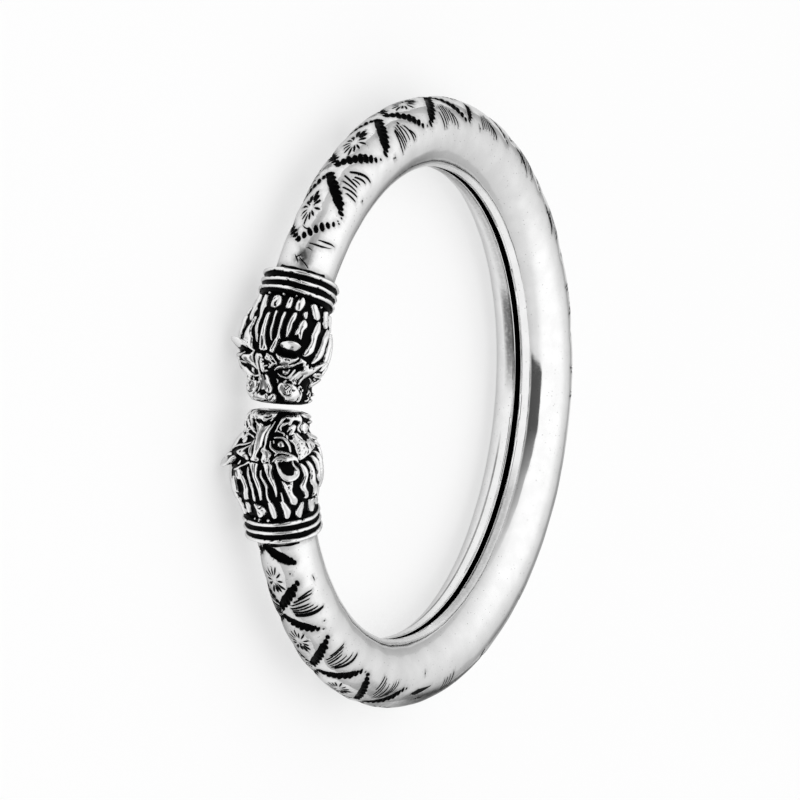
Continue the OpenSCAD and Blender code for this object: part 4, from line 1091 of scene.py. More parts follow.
    jaw_bow=(0.22, (2.4, 104, 0.2), (2.6, 110, 0.24), (3, 119, 0.24), (3.3, 130, 0.22)),
    chin_lip=(0.2, (0.42, 103, 0.2), (0.5, 116, 0.24), (0.5, 138, 0.24), (0.5, 165, 0.24)),
    chin_low=(0.16, (1.3, 118, 0.14), (1.35, 138, 0.24), (1.4, 165, 0.28)),
)), ("cut", ONCE, dict(
    nostril=(0.16, (0.42, 11.8, 0.05), (0.6, 13.2, 0.07), (0.84, 15.3, 0.06)),
    bridge_line=(0.1, (1.3, 7.5, 0.04), (1.5, 7, 0.05), (1.75, 4.8, 0.04), (2, 4.2, 0.04)),
    bridge_dot=(0.1, (2.06, -8.2, 0.05), (2.1, -6.9, 0.06)),
    bridge_dot_low=(0.1, (2.26, -9, 0.05), (2.34, -8.4, 0.05)),
    far_band_dot=(0.08, (2.66, -10.6, 0.05), (2.74, -10, 0.06)),
    knot_dot=(0.12, (4.68, 13.3, 0.06), (4.78, 12.6, 0.06)),
    brow_dot=(0.12, (4.66, 31, 0.07), (4.7, 31, 0.06)),
    brow_dots=(0.12, (4.66, 35.3, 0.08), (4.72, 35.6, 0.06)),
    crown_slit=(0.14, (5.55, 0, 0.05), (5.9, 0.2, 0.12), (6.3, 0, 0.1), (6.75, -0.6, 0.05)),
    lock_slit=(0.12, (5.6, 13.2, 0.04), (6, 15.6, 0.06), (6.45, 18, 0.04)),
    tuft_notch=(0.14, (9.85, 0.6, 0.08), (10.15, -1.2, 0.06)),
    tuft_spot=(0.14, (10.05, 4.6, 0.1), (10.28, 3.2, 0.08), (10.5, 5.6, 0.05)),
    tuft_spot_low=(0.14, (10.75, -2.5, 0.06), (10.85, -0.6, 0.07)),
    tuft_foot=(0.14, (11, 3.2, 0.05), (11.3, 2.6, 0.08)),
    tuft_split=(0.14, (10.4, 22.4, 0.03), (10.9, 23.4, 0.05), (11.4, 23.4, 0.08)),
    tuft_foot_right=(0.14, (11.2, 36.4, 0.07), (11.5, 37.4, 0.09)),
)), ("cut", BOTH, dict(
    pad_arc=(0.14, (1.2, 31.3, 0.04), (1.08, 34.5, 0.06), (1.03, 38.5, 0.07), (1.04, 42, 0.08),
        (1.12, 44.3, 0.09)),
    pad_arc_low=(0.12, (1.3, 43.6, 0.05), (1.42, 43, 0.07)),
    pad_eye=(0.1, (1.33, 36.5, 0.05), (1.36, 35.8, 0.06)),
    pad_split=(0.14, (1.85, 32.8, 0.05), (1.7, 34, 0.08), (1.62, 36.5, 0.08), (1.78, 38.5, 0.07),
        (1.95, 40.6, 0.07), (2.04, 42, 0.08)),
    pad_low_dot=(0.1, (2.13, 38.5, 0.06), (2.17, 38.2, 0.06)),
    pad_spot_line=(0.12, (1.52, 42.5, 0.04), (1.78, 44.8, 0.05), (1.95, 44.3, 0.04)),
    pad_dot=(0.14, (1.6, 48, 0.09), (1.64, 47.5, 0.09)),
    lip_dot=(0.12, (0.66, 62.3, 0.08), (0.72, 62.9, 0.08)),
    cheek_finger=(0.1, (2.58, 50.6, 0.04), (2.75, 50.4, 0.05), (2.9, 51.6, 0.04)),
)), ("shade", ONCE, dict(
    nostril_curl=(1.3, (0.86, 3.8, 0.05), (0.62, 3.8, 0.05), (0.42, 5.8, 0.06), (0.34, 9, 0.05),
        (0.4, 11, 0.04)),
    nostril_fill=(0.9, (0.55, 6.8, 0.06), (0.75, 6.8, 0.07)),
    nose_line=(0.6, (0.5, -34, 0.04), (0.5, -18, 0.05), (0.47, -3, 0.04)),
    nose_dot=(1.3, (0.6, -29, 0.06), (0.64, -27, 0.06)),
    nose_far=(0.6, (0.22, -34, 0.08), (0.36, -34, 0.1)),
    bridge_grey=(0.9, (1.62, -9, 0.28), (1.9, -7, 0.38), (2.2, -2, 0.3)),
    bridge_grey_low=(0.9, (1.5, 2, 0.14), (2, 1, 0.2), (2.75, -1.2, 0.14)),
    far_band_edge=(0.7, (2.55, -14, 0.1), (3, -13, 0.12), (3.5, -13.4, 0.08), (3.9, -12.6, 0.08)),
    far_band_dots=(1.5, (3.08, -11.2, 0.06), (3.4, -11.4, 0.07)),
    knot_grey=(1.2, (4.58, 8, 0.05), (4.66, 8, 0.06)),
    far_brow_grey=(0.8, (4.12, -24, 0.12), (4.35, -27.5, 0.18), (4.45, -24, 0.14)),
    far_brow_edge=(1.2, (4.2, -19, 0.06), (4.5, -18.6, 0.08), (4.7, -17, 0.06)),
    far_base_dot=(1.2, (2.12, -33, 0.06), (2.14, -31, 0.06)),
    pupil=(1, (3.33, 31.5, 0.07), (3.4, 32.5, 0.08)),
    brow_bar=(1.2, (4.67, 31, 0.07), (4.68, 36, 0.08)),
    brow_left=(1.2, (4.72, 25, 0.05), (4.8, 24.3, 0.06)),
    brow_top=(0.6, (4.25, 30, 0.1), (4.3, 33.5, 0.12), (4.4, 29, 0.08)),
    wisp_grey=(0.9, (7.8, 31.8, 0.05), (8.6, 32.6, 0.08), (9.1, 34, 0.06)),
    prong_grey=(1.1, (7.5, 46.4, 0.05), (8, 45.8, 0.08), (8.4, 48, 0.06)),
    tuft_grey=(1, (10.1, 38.6, 0.06), (10.7, 37, 0.1)),
)), ("shade", BOTH, dict(
    pad_swirl=(0.9, (1.2, 36, 0.13), (1.4, 33, 0.22), (1.7, 29, 0.22), (2, 29, 0.14)),
    pad_swirl_low=(1, (1.95, 35.5, 0.12), (2.15, 37.5, 0.13), (2.1, 40, 0.08)),
    pad_left=(0.7, (1.5, 26, 0.05), (1.8, 27.2, 0.06), (1.9, 27.5, 0.05)),
    pad_top_grey=(0.35, (0.5, 44, 0.12), (0.6, 52, 0.12)),
    pad_dot_side=(1.4, (1.62, 50.5, 0.06), (1.66, 51, 0.05)),
    cheek_blotch=(1, (2.62, 45.5, 0.07), (2.75, 48.5, 0.06)),
    cheek_middle=(0.4, (3.45, 56, 0.12), (3.7, 62, 0.14)),
    jaw_bar_grey=(0.8, (3.6, 87, 0.07), (3.62, 93, 0.08)),
))]

# Ears: the front slope of an ear is black, its rim bright, and all of it leans back to the collar.
# The slope: points round its edge, height where it starts and at its end. The rim: distance, turn,
# half width and height. far_shift is how far the far ear stands from the near one along the head,
# below 0 towards the muzzle
EARS_RIGHT = {
    "slope": ([(5.0, 33), (5.15, 31), (5.5, 33), (5.9, 37), (6.2, 43), (6.1, 49), (5.6, 50),
               (5.1, 49), (4.98, 45)], -0.25, 1.30),
    "rim": [(5.15, 29.8, 0.09, 0.30), (5.45, 31, 0.12, 0.60), (5.8, 33.4, 0.15, 0.95),
            (6.1, 37.2, 0.20, 1.30), (6.26, 43, 0.25, 1.45), (6.2, 49, 0.27, 1.35),
            (6.02, 53, 0.25, 1.12), (5.8, 54, 0.19, 0.92), (5.6, 52, 0.12, 0.72),
            (5.3, 49.8, 0.09, 0.50), (5.05, 49.2, 0.09, 0.30)],
    "lean": 0.45, "far_shift": -0.75,
}
EARS_LEFT = {
    "slope": ([(5.15, 30), (5.3, 27), (5.8, 27.5), (6.05, 36), (5.9, 44.5), (5.3, 45), (5.15, 41)],
              -0.25, 1.15),
    "rim": [(6.02, 24.5, 0.05, 0.80), (6.0, 27.5, 0.17, 1.08), (5.97, 32, 0.29, 1.34),
            (5.97, 36.5, 0.34, 1.40), (5.99, 41.5, 0.28, 1.30), (6.03, 45, 0.15, 1.0), (6.05, 47, 0.05, 0.8)],
    "lean": 0.42, "far_shift": 0.0,
}
# Round dots before the collar: distance from the muzzle, turn, radius
DOTS_RIGHT = [(11.5, -14, 0.13), (11.45, -4.6, 0.13), (11.65, -6.2, 0.12), (11.55, 10, 0.20),
              (11.6, 92, 0.16)]
DOTS_LEFT = [(11.55, -16.5, 0.15), (11.5, 9.7, 0.15), (11.45, 75.5, 0.12), (11.6, 30, 0.10)]


def wrapped(turn):
    """The same turn between -180 and 180."""
    return (turn + 180) % 360 - 180


def inside_of(edge, x, y):
    """Distance inside a closed outline, negative outside it."""
    away, within = np.full(len(x), 9.0), np.zeros(len(x), bool)
    for (x0, y0), (x1, y1) in zip(edge, np.roll(edge, -1, 0)):
        away = np.minimum(away, from_line(x, y, x0, y0, x1, y1)[1])
        if y0 != y1:
            within ^= ((y0 > y) != (y1 > y)) & (x < x0 + (y - y0) * (x1 - x0) / (y1 - y0))
    return np.where(within, away, -away)


class Relief:
    """Height over the broad form, distance inside the bright silver and greyness of a head."""
    skirt = 0.05
    edge_round = 0.15
    dome = 0.10
    lock_fill = 1.3
    # Length over which a lock rounds off at its ends; the half width of a lock of full height, and
    # how much a narrower one sinks
    lock_end, full_half, narrow_sink = 0.16, 0.22, 0.55
    shade_depth = 0.03
    # How far past an outline its form is worked out
    margin = 0.3
    # The far ear's slope, rim and rim width as shares of the near one's
    far_slope, far_rim, far_width = 0.72, 0.94, 1.3
    # Where the far ear starts to move with its shift, and how softly
    ear_start, ear_soft = 4.9, 0.8

    def __init__(self, s, t, reach, ground):
        self.s, self.t, self.reach = s, t, reach
        self.high, self.silver = ground.copy(), np.full_like(s, -0.4)
        self.grey = np.zeros_like(s)
        self.ground = ground

    def flat(self, points):
        """Distances and turns as flat millimetres; other columns stay."""
        rows = np.array(points, float)
        rows[:, 1] *= head_reach(rows[:, 0])
        return rows

    def near(self, path, side, margin):
        """The grid's points near a flat path, as indexes and flat millimetres."""
        x, y = self.s, side * self.t * self.reach
        low, high = path[:, :2].min(0) - margin, path[:, :2].max(0) + margin
        pick = np.flatnonzero((x > low[0]) & (x < high[0]) & (y > low[1]) & (y < high[1]))
        return pick, x[pick], y[pick]

    def lock(self, points, side=1):
        """Lock of hair that runs away from the muzzle; its half width is measured round the head."""
        rows = np.asarray(points, float)
        pick = np.flatnonzero((self.s > rows[0, 0]) & (self.s < rows[-1, 0]))
        at = self.s[pick]
        middle = side * hermite(at, rows[:, 0], rows[:, 1])
        half = hermite(at, rows[:, 0], rows[:, 2]) * self.reach[pick] * self.lock_fill
        end = ramp(np.minimum(at - rows[0, 0], rows[-1, 0] - at), self.lock_end)
        half = half * np.sqrt(1 - (1 - end) ** 2)
        away = np.abs(wrapped(self.t[pick] - middle)) * self.reach[pick]
        keep = away < half + self.margin
        pick, away, half = pick[keep], away[keep], half[keep]
        q = np.clip(away / (half + self.skirt), 0, 1)
        crown = np.minimum(0.0, self.narrow_sink * (half - self.full_half))
        low = self.ground[pick]
        self.high[pick] = np.maximum(self.high[pick], low + (crown - low) * (1 - q ** 2.1) ** 0.5)
        self.silver[pick] = np.maximum(self.silver[pick], half - away)

    def stroke(self, kind, points, height, side=1):
        """Ridge, cut or shade along a path of points: distance, turn, half width."""
        path = smooth_path(self.flat(points))
        pick, x, y = self.near(path, side, path[:, 2].max() + self.margin)
        edge, top, core = (np.full(len(pick), -9.0) for _ in range(3))
        for (x0, y0, w0, *h0), (x1, y1, w1, *h1) in zip(path, path[1:]):
            f, away = from_line(x, y, x0, y0, x1, y1)
            half = w0 + (w1 - w0) * f
            high = h0[0] + (h1[0] - h0[0]) * f if h0 else height
            edge = np.maximum(edge, half - away)
            core = np.maximum(core, 1 - away / (half + 0.02))
            shape = np.sqrt(np.clip(1 - (away / (half + self.skirt)) ** 2.4, 0, 1))
            low = self.ground[pick] if kind == "ridge" else 0.0
            top = np.maximum(top, np.where(shape > 0, low + (high - low) * shape, -9.0))
        if kind == "ridge":
            self.high[pick] = np.maximum(self.high[pick], top)
            self.silver[pick] = np.maximum(self.silver[pick], edge)
        elif kind == "cut":
            self.high[pick] -= np.clip(top, 0, None)
            self.silver[pick] = np.minimum(self.silver[pick], -edge)
        else:
            # A shade paints grey into the silver, painted shade, and sinks it a little
            self.grey[pick] = np.maximum(self.grey[pick], height * np.clip(core * 1.7, 0, 1))
            self.high[pick] -= self.shade_depth * np.clip(core * 1.7, 0, 1)

    def patch(self, points, height, side=1):
        """Flat area of bright silver with a rounded edge and a slightly domed top."""
        edge = smooth_path(self.flat(points), 3, closed=True)
        pick, x, y = self.near(edge, side, self.margin)
        inside = inside_of(edge, x, y)
        q = np.clip((inside + self.skirt) / (self.edge_round + self.skirt), 0, 1)
        shape = np.sqrt(1 - (1 - q) ** 2)
        low = self.ground[pick]
        top = low + (height - low) * shape + self.dome * np.clip(inside, 0, 0.5)
        self.high[pick] = np.maximum(self.high[pick], np.where(q > 0, top, -9.0))
        self.silver[pick] = np.maximum(self.silver[pick], inside)

    def face(self, table):
        """All the marks of a face, in the order of their table."""
        for kind, sides, marks in table:
            for height, *points in marks.values():
                for side in sides:
                    if kind == "patch":
                        self.patch(points, height, side)
                    else:
                        self.stroke(kind, points, height, side)

    def ear(self, slope, low, high, rim, far_shift):
        """Black slope that rises away from the muzzle to a bright rim."""
        for side, share, top, shift in ((1, 1.0, 1.0, 0.0), (-1, self.far_slope, self.far_rim, far_shift)):
            moved = [s + shift * float(ramp(s - self.ear_start, self.ear_soft)) for s, *_ in slope + rim]
            edge = smooth_path(self.flat([(s, t) for s, (_, t) in zip(moved, slope)]), 3, closed=True)
            pick, x, y = self.near(edge, side, self.margin)
            inside = inside_of(edge, x, y)
            foot, end = edge[:, 0].min(), edge[:, 0].max()
            rise = (low + (high - low) * ramp(x - foot, end - foot)) * share
            q = ramp(inside + 0.1, 0.2)
            top_here = np.where(q > 0, self.ground[pick] * (1 - q) + rise * q, -9.0)
            self.high[pick] = np.maximum(self.high[pick], top_here)
            self.silver[pick] = np.minimum(self.silver[pick], -inside)
            wide = self.far_width if side < 0 else 1.0
            rows = [(s, t, half * wide, tall * top)
                    for s, (_, t, half, tall) in zip(moved[len(slope):], rim)]
            self.stroke("ridge", rows, None, side)

    def dot(self, s, t, radius, kind="ridge", height=-0.1):
        self.stroke(kind, [(s - 0.01, t, radius), (s + 0.01, t, radius)], height)


def head_reach(s):
    """Millimetres per degree round a head at a distance from its muzzle."""
    return np.radians(np.interp(s, *np.transpose(PROFILE)))


def inner_locks(relief):
    """Plain locks on the side that faces the wrist, where nothing else shows."""
    for k in range(11):
        turn = 125 + 11 * k
        first = float(np.interp(min(turn, 360 - turn), *np.transpose(MANE_START))) + 0.3
        rows = [(s, turn + 4 * math.sin((s - 5) * 1.3 + 0.4 * k), 2.9 + 0.4 * math.sin(2.2 * s + k))
                for s in np.linspace(first, 9.3, 6)]
        relief.lock(rows)
        relief.lock([(9.6, turn + 4, 1.4), (10.3, turn + 5, 3.2), (11.4, turn + 4, 2.4)])


def head_mesh(hoop, locks, face, ear, dots, dents, seed):
    """Points and faces of a left head, its distance inside the bright silver and its greyness."""
    rows = np.r_[np.linspace(0, FACE_END, FACE_ROWS), np.linspace(FACE_END, hoop.head_l, MANE_ROWS)[1:]]
    cols = np.concatenate([np.arange(*part) for part in COLUMNS])
    s, t = np.meshgrid(rows, wrapped(cols), indexing="ij")
    shape = s.shape
    s, t = s.ravel(), t.ravel()
    radius = np.interp(s, *np.transpose(PROFILE))
    for fs, ft, fl, fw, height, flat in FORMS:
        for side in (1, -1) if ft else (1,):
            q = ((s - fs) / fl) ** 2 + (wrapped(t - side * ft) / fw) ** 2
            radius += height * np.exp(-q ** flat)
    start = np.interp(np.abs(t), *np.transpose(MANE_START))
    mane = ramp(s - start, 0.35)
    ground = GROUND - (hoop.lock_cut - FACE_CUT) * mane - NECK_DROP * ramp(s - NECK_START, 0.4)
    relief = Relief(s, t, head_reach(s), ground)
    for name, points in locks.items():
        relief.lock(points)
        if name in FAR_LOCKS:
            relief.lock(points, -1)
    inner_locks(relief)
    for place in dots:
        relief.dot(*place)
    relief.face(face)
    for place in dents:
        relief.dot(*place, kind="cut", height=0.08)
    slope, low, high = ear["slope"]
    relief.ear(slope, low, high, ear["rim"], ear["far_shift"])
    rough = ripples(s, np.radians(t) * 5, 0.35, seed, 24)
    silver = (relief.silver + (0.018 + 0.02 * ramp(s - TUFT_START, 0.4)) * rough).reshape(shape)
    grey = relief.grey.reshape(shape)
    high = relief.high + 0.010 * rough + 0.02 * ripples(s, np.radians(t) * 5, 1.1, seed + 1)
    full = (radius + high).reshape(shape)
    full = (np.roll(full, 1, 1) + 2 * full + np.roll(full, -1, 1)) / 4
    full[1:-1] = (full[:-2] + 2 * full[1:-1] + full[2:]) / 4
    lean = ear["lean"] * np.clip(relief.high.reshape(shape) - LEAN_START, 0, None)

    # Muzzle's flat front and the neck inside the collar, as rings that shrink. Front rings: share of
    # the muzzle's radius, how far the ring stands out into the gap
    front = [(0.15, -0.2), (0.4, -0.15), (0.6, 0.02), (0.8, 0.08), (0.93, 0.05)]
    ring_r = np.array([full[0] * share for share, _ in front] + list(full) + [full[-1] * 0.88])
    ring_s = np.r_[[-stand for _, stand in front], rows, rows[-1]][:, None] + 0 * ring_r
    ring_s[len(front):-1] += lean
    ring_v = np.array([np.minimum(0.1, (share - 0.55) * 1.2) + 0 * full[0] for share, _ in front]
                      + list(silver) + [silver[-1] * 0 - 0.4])
    ring_g = np.array([0 * full[0]] * len(front) + list(grey) + [0 * full[0]])
    bent = hoop.muzzle_a + ring_s * hoop.deg_per_mm
    turned = ramp(ring_s - hoop.head_l + 2.5, 2.5)
    face_a = bent + turned * (hoop.collar_a - bent)
    middle = (hoop.head_r + np.interp(ring_s, *np.transpose(RISE)))[..., None] * out_of(bent)
    turn = np.radians(cols)[None, :]
    points = middle + (ring_r * np.cos(turn))[..., None] * out_of(face_a)
    points[..., 2] += ring_r * np.sin(turn)
    ends = [points[0].mean(0), points[-1].mean(0)]
    rings, around = ring_r.shape
    faces = [ring_faces(rings, around)[:, ::-1]]
    k = np.arange(around)
    for tip, base, way in ((rings * around, 0, -1), (rings * around + 1, (rings - 1) * around, 1)):
        fan = np.stack([np.full(around, tip), base + k, base + (k + 1) % around], -1)
        faces.append(fan[:, ::way])
    points = np.concatenate([points.reshape(-1, 3), ends])
    return points, faces, np.r_[ring_v.ravel(), -0.4, -0.4], np.r_[ring_g.ravel(), 0, 0]


# Collars

# Left and right collar: distance of the first ridge from the muzzle where it bows most towards it,
# how far it bows, the turn of that place, and the seed of its wear
COLLARS = {"left": (12.25, 0.55, 20, 21), "right": (12.03, 0.70, 12, 77)}


def collar_span(hoop, turn, first, bow, bow_turn):
    """First ridge and end of a collar at a turn, in millimetres from its middle."""
    half, margin, bow_end = hoop.collar_l / 2, 0.25, 75
    bend = np.radians(np.minimum(np.abs(wrapped(turn - bow_turn)), bow_end))
    start = first - hoop.head_l - hoop.face_gap - half + bow * (1 - np.cos(bend))
    return start, np.maximum(half - 0.1, start + (hoop.ridges - 1) * hoop.ridge_pitch + margin)


def collar_mesh(hoop, first, bow, bow_turn, seed):
    """Points, faces and bright silver of a left collar: worn ridges over black grooves."""
    steps, around = 84, 320
    crest, wander, play = 0.215, 0.035, 0.06
    half = hoop.collar_l / 2
    turn = np.arange(around) * 360 / around
    start, end = collar_span(hoop, turn, first, bow, bow_turn)
    dd = -half + np.linspace(0, 1, steps)[:, None] * (end + half)[None, :]
    tt = turn[None, :] + 0 * dd
    arc = np.radians(tt) * hoop.collar_r
    best = np.full_like(dd, -1.0)
    for k in range(hoop.ridges):
        middle = start + k * hoop.ridge_pitch + wander * ripples(arc, 0 * arc, 3.0, seed + k)
        width = crest + 0.03 * ripples(arc, 0 * arc, 1.6, seed + 10 + k)
        best = np.maximum(best, width - np.abs(dd - middle))
    nick = ripples(arc, dd, 0.5, seed + 30)
    best = best - 0.15 * np.clip(nick - 0.75, 0, 1.5)
    rise = np.sqrt(np.clip(1 - (1 - np.clip((best + 0.05) / 0.26, 0, 1)) ** 2, 0, 1))
    dents = 0.012 * ripples(arc, dd, 0.9, seed + 40) - 0.02
    radius = hoop.collar_r - hoop.groove + hoop.groove * rise + dents
    thick = hoop.collar_a + half * hoop.deg_per_mm
    bore_w, bore_h = hoop.half_w(thick) + play, hoop.half_h(thick) + play
    centre = hoop.tube_mid(hoop.collar_a)
    c, s = np.cos(np.radians(turn)), np.sin(np.radians(turn))

    def ring(out, up, along_by):
        place = (out[:, None] * out_of(hoop.collar_a)
                 + (along_by + 0 * out)[:, None] * along(hoop.collar_a))
        place[:, 2] += up
        return place

    bore = np.maximum(bore_w * c, -hoop.flat_share * hoop.half_w(thick) - play)
    rings = [ring(centre + bore, bore_h * s, -half)]
    rings += [ring(hoop.head_r + r * c, r * s, x) for r, x in zip(radius, dd)]
    rings += [ring(centre + bore, bore_h * s, end), ring(centre + bore, bore_h * s, -half)]
    silver = [np.full(around, -0.2), *best, np.full(around, -0.2), np.full(around, -0.2)]
    return np.concatenate(rings), [ring_faces(len(rings), around)], np.concatenate(silver)


# Materials


class Nodes:
    """Short way to add and join shader nodes."""

    def __init__(self, tree):
        self.tree = tree
        tree.nodes.clear()

    def add(self, kind, links=None, **settings):
        node = self.tree.nodes.new(kind)
        for key, value in settings.items():
            setattr(node, key, value)
        for key, value in (links or {}).items():
            if isinstance(value, bpy.types.NodeSocket):
                self.tree.links.new(value, node.inputs[key])
            else:
                node.inputs[key].default_value = value
        return node

    def noise(self, scale, detail=4.0, where=None):
        where = where or self.add("ShaderNodeTexCoord").outputs["Object"]
        node = self.add("ShaderNodeTexNoise", {"Vector": where, "Scale": scale, "Detail": detail})
        return node.outputs["Fac"]

    def between(self, value, low, high, to_low=0.0, to_high=1.0, kind="SMOOTHSTEP"):
        return self.add("ShaderNodeMapRange", {"Value": value, "From Min": low, "From Max": high,
                                               "To Min": to_low, "To Max": to_high},
                        interpolation_type=kind).outputs["Result"]

    def math(self, operation, a, b=0.0):
        return self.add("ShaderNodeMath", {0: a, 1: b}, operation=operation).outputs[0]

    def mix(self, share, a, b):
        return self.add("ShaderNodeMix", {"Factor": share, "A": a, "B": b}).outputs["Result"]

    def mix_colour(self, share, a, b):
        node = self.add("ShaderNodeMix", {"Factor": share}, data_type="RGBA")
        for socket, value in ((node.inputs[6], a), (node.inputs[7], b)):
            if isinstance(value, bpy.types.NodeSocket):
                self.tree.links.new(value, socket)
            else:
                socket.default_value = (*value, 1.0)
        return node.outputs[2]


# Bumps to a metre of each kind of wear in the silver
GRAIN = {"ragged edge": 9000.0, "clouds": 420.0, "pits": 1900.0, "blotches": 2600.0, "streaks": 900.0,
         "dull black": 1500.0, "fine pits": 5200.0, "scratches": 2600.0}


def silver_material(name, finish, sign, polish):
    """Polished silver whose recesses are blackened. The mesh's black attribute is a distance in
    millimetres from the black's edge, and sign says whether it grows into the black or the
    silver; its second attribute is how grey the silver is there, from real stains and from painted
    shade that stands for darker reflections."""
    material = bpy.data.materials.new(name)
    material.use_nodes = True
    n = Nodes(material.node_tree)
    where = n.add("ShaderNodeTexCoord").outputs["Object"]
    edge = n.add("ShaderNodeAttribute", attribute_name="black").outputs["Fac"]
    ragged = n.math("MULTIPLY", n.math("SUBTRACT", n.noise(GRAIN["ragged edge"], 3.0, where), 0.5), 0.05)
    inside = n.math("ADD", n.math("MULTIPLY", edge, float(sign)), ragged)
    black = n.between(inside, -0.02, 0.02)
    clouds = n.between(n.noise(GRAIN["clouds"], 5.0, where), 0.35, 0.7)
    tone = n.mix_colour(clouds, [c * 0.94 for c in finish.silver], list(finish.silver))
    cells = n.add("ShaderNodeTexVoronoi", {"Vector": where, "Scale": GRAIN["pits"]})
    pit = n.math("MULTIPLY", n.between(cells.outputs["Distance"], 0.04, 0.14, 1.0, 0.0),
                 n.between(cells.outputs["Color"], 0.45, 0.6))
    smudge = n.add("ShaderNodeAttribute", attribute_name="smudge").outputs["Fac"]
    blotch = n.between(n.noise(GRAIN["blotches"], 5.0, where), 0.25, 0.6, 0.75, 1.15)
    # Greying from the mesh's attribute: real stains and pits, with painted shade
    greying = n.math("ADD", n.math("MULTIPLY", smudge, blotch), n.math("MULTIPLY", pit, 0.9))
    bright_share = n.math("POWER", 0.19, greying)
    tone = n.mix_colour(bright_share, list(finish.smudge), tone)
    colour = n.mix_colour(black, tone, list(finish.oxide))
    streaks = n.between(n.noise(GRAIN["streaks"], 6.0, where), 0.3, 0.75, polish * 0.6, polish * 1.5)
    dull = n.math("ADD", streaks, n.math("MULTIPLY", n.math("MINIMUM", greying, 1.0), 0.12))
    rough = n.mix(black, dull, n.between(n.noise(GRAIN["dull black"], 4.0, where), 0.3, 0.7, 0.24, 0.42))
    pits = n.noise(GRAIN["fine pits"], 4.0, where)
    scratches = n.noise(GRAIN["scratches"], 2.0, where)
    height = n.math("ADD", n.math("MULTIPLY", pits, 0.6), n.math("MULTIPLY", scratches, 0.4))
    bump = n.add("ShaderNodeBump", {"Height": height, "Strength": 0.10, "Distance": 0.00002})
    shader = n.add("ShaderNodeBsdfPrincipled", {
        "Base Color": colour, "Metallic": n.math("SUBTRACT", 1.0, black), "Roughness": rough,
        "Normal": bump.outputs["Normal"]})
    shader.inputs["Specular IOR Level"].default_value = 0.02
    # Where the silver is greyed, painted shade also dims the tint of its reflections
    edge_tone = n.mix_colour(bright_share, [0.2] * 3, [0.72] * 3)
    n.tree.links.new(edge_tone, shader.inputs["Specular Tint"])
    out = n.add("ShaderNodeOutputMaterial", {"Surface": shader.outputs[0]})
    out.target = "ALL"
    return material


def finish_piece(piece, material, node):
    """Material of a piece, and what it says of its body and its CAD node."""
    piece.data.materials.append(material)
    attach(piece, "root")
    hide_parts(node)


# Stage


def tent_world(studio):
    """White tent: bright overhead, paler grey towards the table, with the dark opening that the
    camera looks in through. Directions are the scene's own, and the hoop faces -Y."""
    world = bpy.data.worlds.new("white_tent")
    bpy.context.scene.world = world
    world.use_nodes = True
    n = Nodes(world.node_tree)
    way = n.add("ShaderNodeTexCoord").outputs["Generated"]
    split = n.add("ShaderNodeSeparateXYZ", {"Vector": way})
    x, y, z = split.outputs
    # Height above the horizon, and side from -Y towards +X, both in degrees
    height = n.math("MULTIPLY", n.math("ARCSINE", z), 180 / math.pi)
    side = n.math("MULTIPLY", n.math("ARCTAN2", x, n.math("MULTIPLY", y, -1.0)), 180 / math.pi)
    dome = n.between(height, 38.0, 62.0, 0.0, 1.0)
    wall = n.mix(n.between(x, -0.7, 0.7), n.between(height, 5.0, 46.0, 0.62, 1.05, "LINEAR"),
                 n.between(height, -5.0, 60.0, 0.60, 0.90, "LINEAR"))
    rim = n.math("MULTIPLY", n.between(height, 12.5, 15.5, 1.0, 0.0), n.between(y, 0.0, 0.5))
    plain = n.math("MULTIPLY", wall, n.math("SUBTRACT", 1.0, n.math("MULTIPLY", rim, 0.16)))
    tent = n.mix(dome, plain, studio.light)
    across = n.math("MULTIPLY", n.between(side, -85.0, -12.0, kind="LINEAR"),
                    n.between(side, 23.0, 28.0, 1.0, 0.0))
    past = n.math("MAXIMUM", n.math("SUBTRACT", -15.0, side), 0.0)
    sloped = n.math("ADD", height, n.math("MULTIPLY", past, 0.5))
    upward = n.math("MULTIPLY", n.between(height, 2.0, 16.0), n.between(sloped, 53.0, 57.0, 1.0, 0.0))
    opening = n.math("MULTIPLY", across, upward)
    shade = n.mix(n.math("MULTIPLY", opening, 0.93), tent, 0.03)
    back = n.add("ShaderNodeBackground", {"Color": (1.0, 1.0, 1.0, 1.0), "Strength": shade})
    n.add("ShaderNodeOutputWorld", {"Surface": back.outputs[0]})


def soft_lamp(studio):
    """Wide lamp overhead that the silver doesn't mirror."""
    data = bpy.data.lights.new("soft_lamp", "AREA")
    data.shape = "DISK"
    data.size = 2.2
    data.energy = studio.lamp
    lamp = bpy.data.objects.new("soft_lamp", data)
    lamp.location = (0.0, 0.0, 1.3)
    lamp.visible_glossy = False
    bpy.context.scene.collection.objects.link(lamp)


def table_material():
    """White table that glows a little, as in a light tent, so that its shadows stay pale."""
    material = bpy.data.materials.new("white_table")
    material.use_nodes = True
    n = Nodes(material.node_tree)
    tone = n.mix_colour(n.noise(6.0, 2.0), (0.37, 0.37, 0.37), (0.39, 0.39, 0.39))
    shader = n.add("ShaderNodeBsdfPrincipled", {"Base Color": tone})
    shader.inputs["Roughness"].default_value = 0.5
    shader.inputs["Specular IOR Level"].default_value = 0.0
    shader.inputs["Emission Color"].default_value = (1.0, 1.0, 1.0, 1.0)
    shader.inputs["Emission Strength"].default_value = 0.57
    n.add("ShaderNodeOutputMaterial", {"Surface": shader.outputs[0]})
    return material


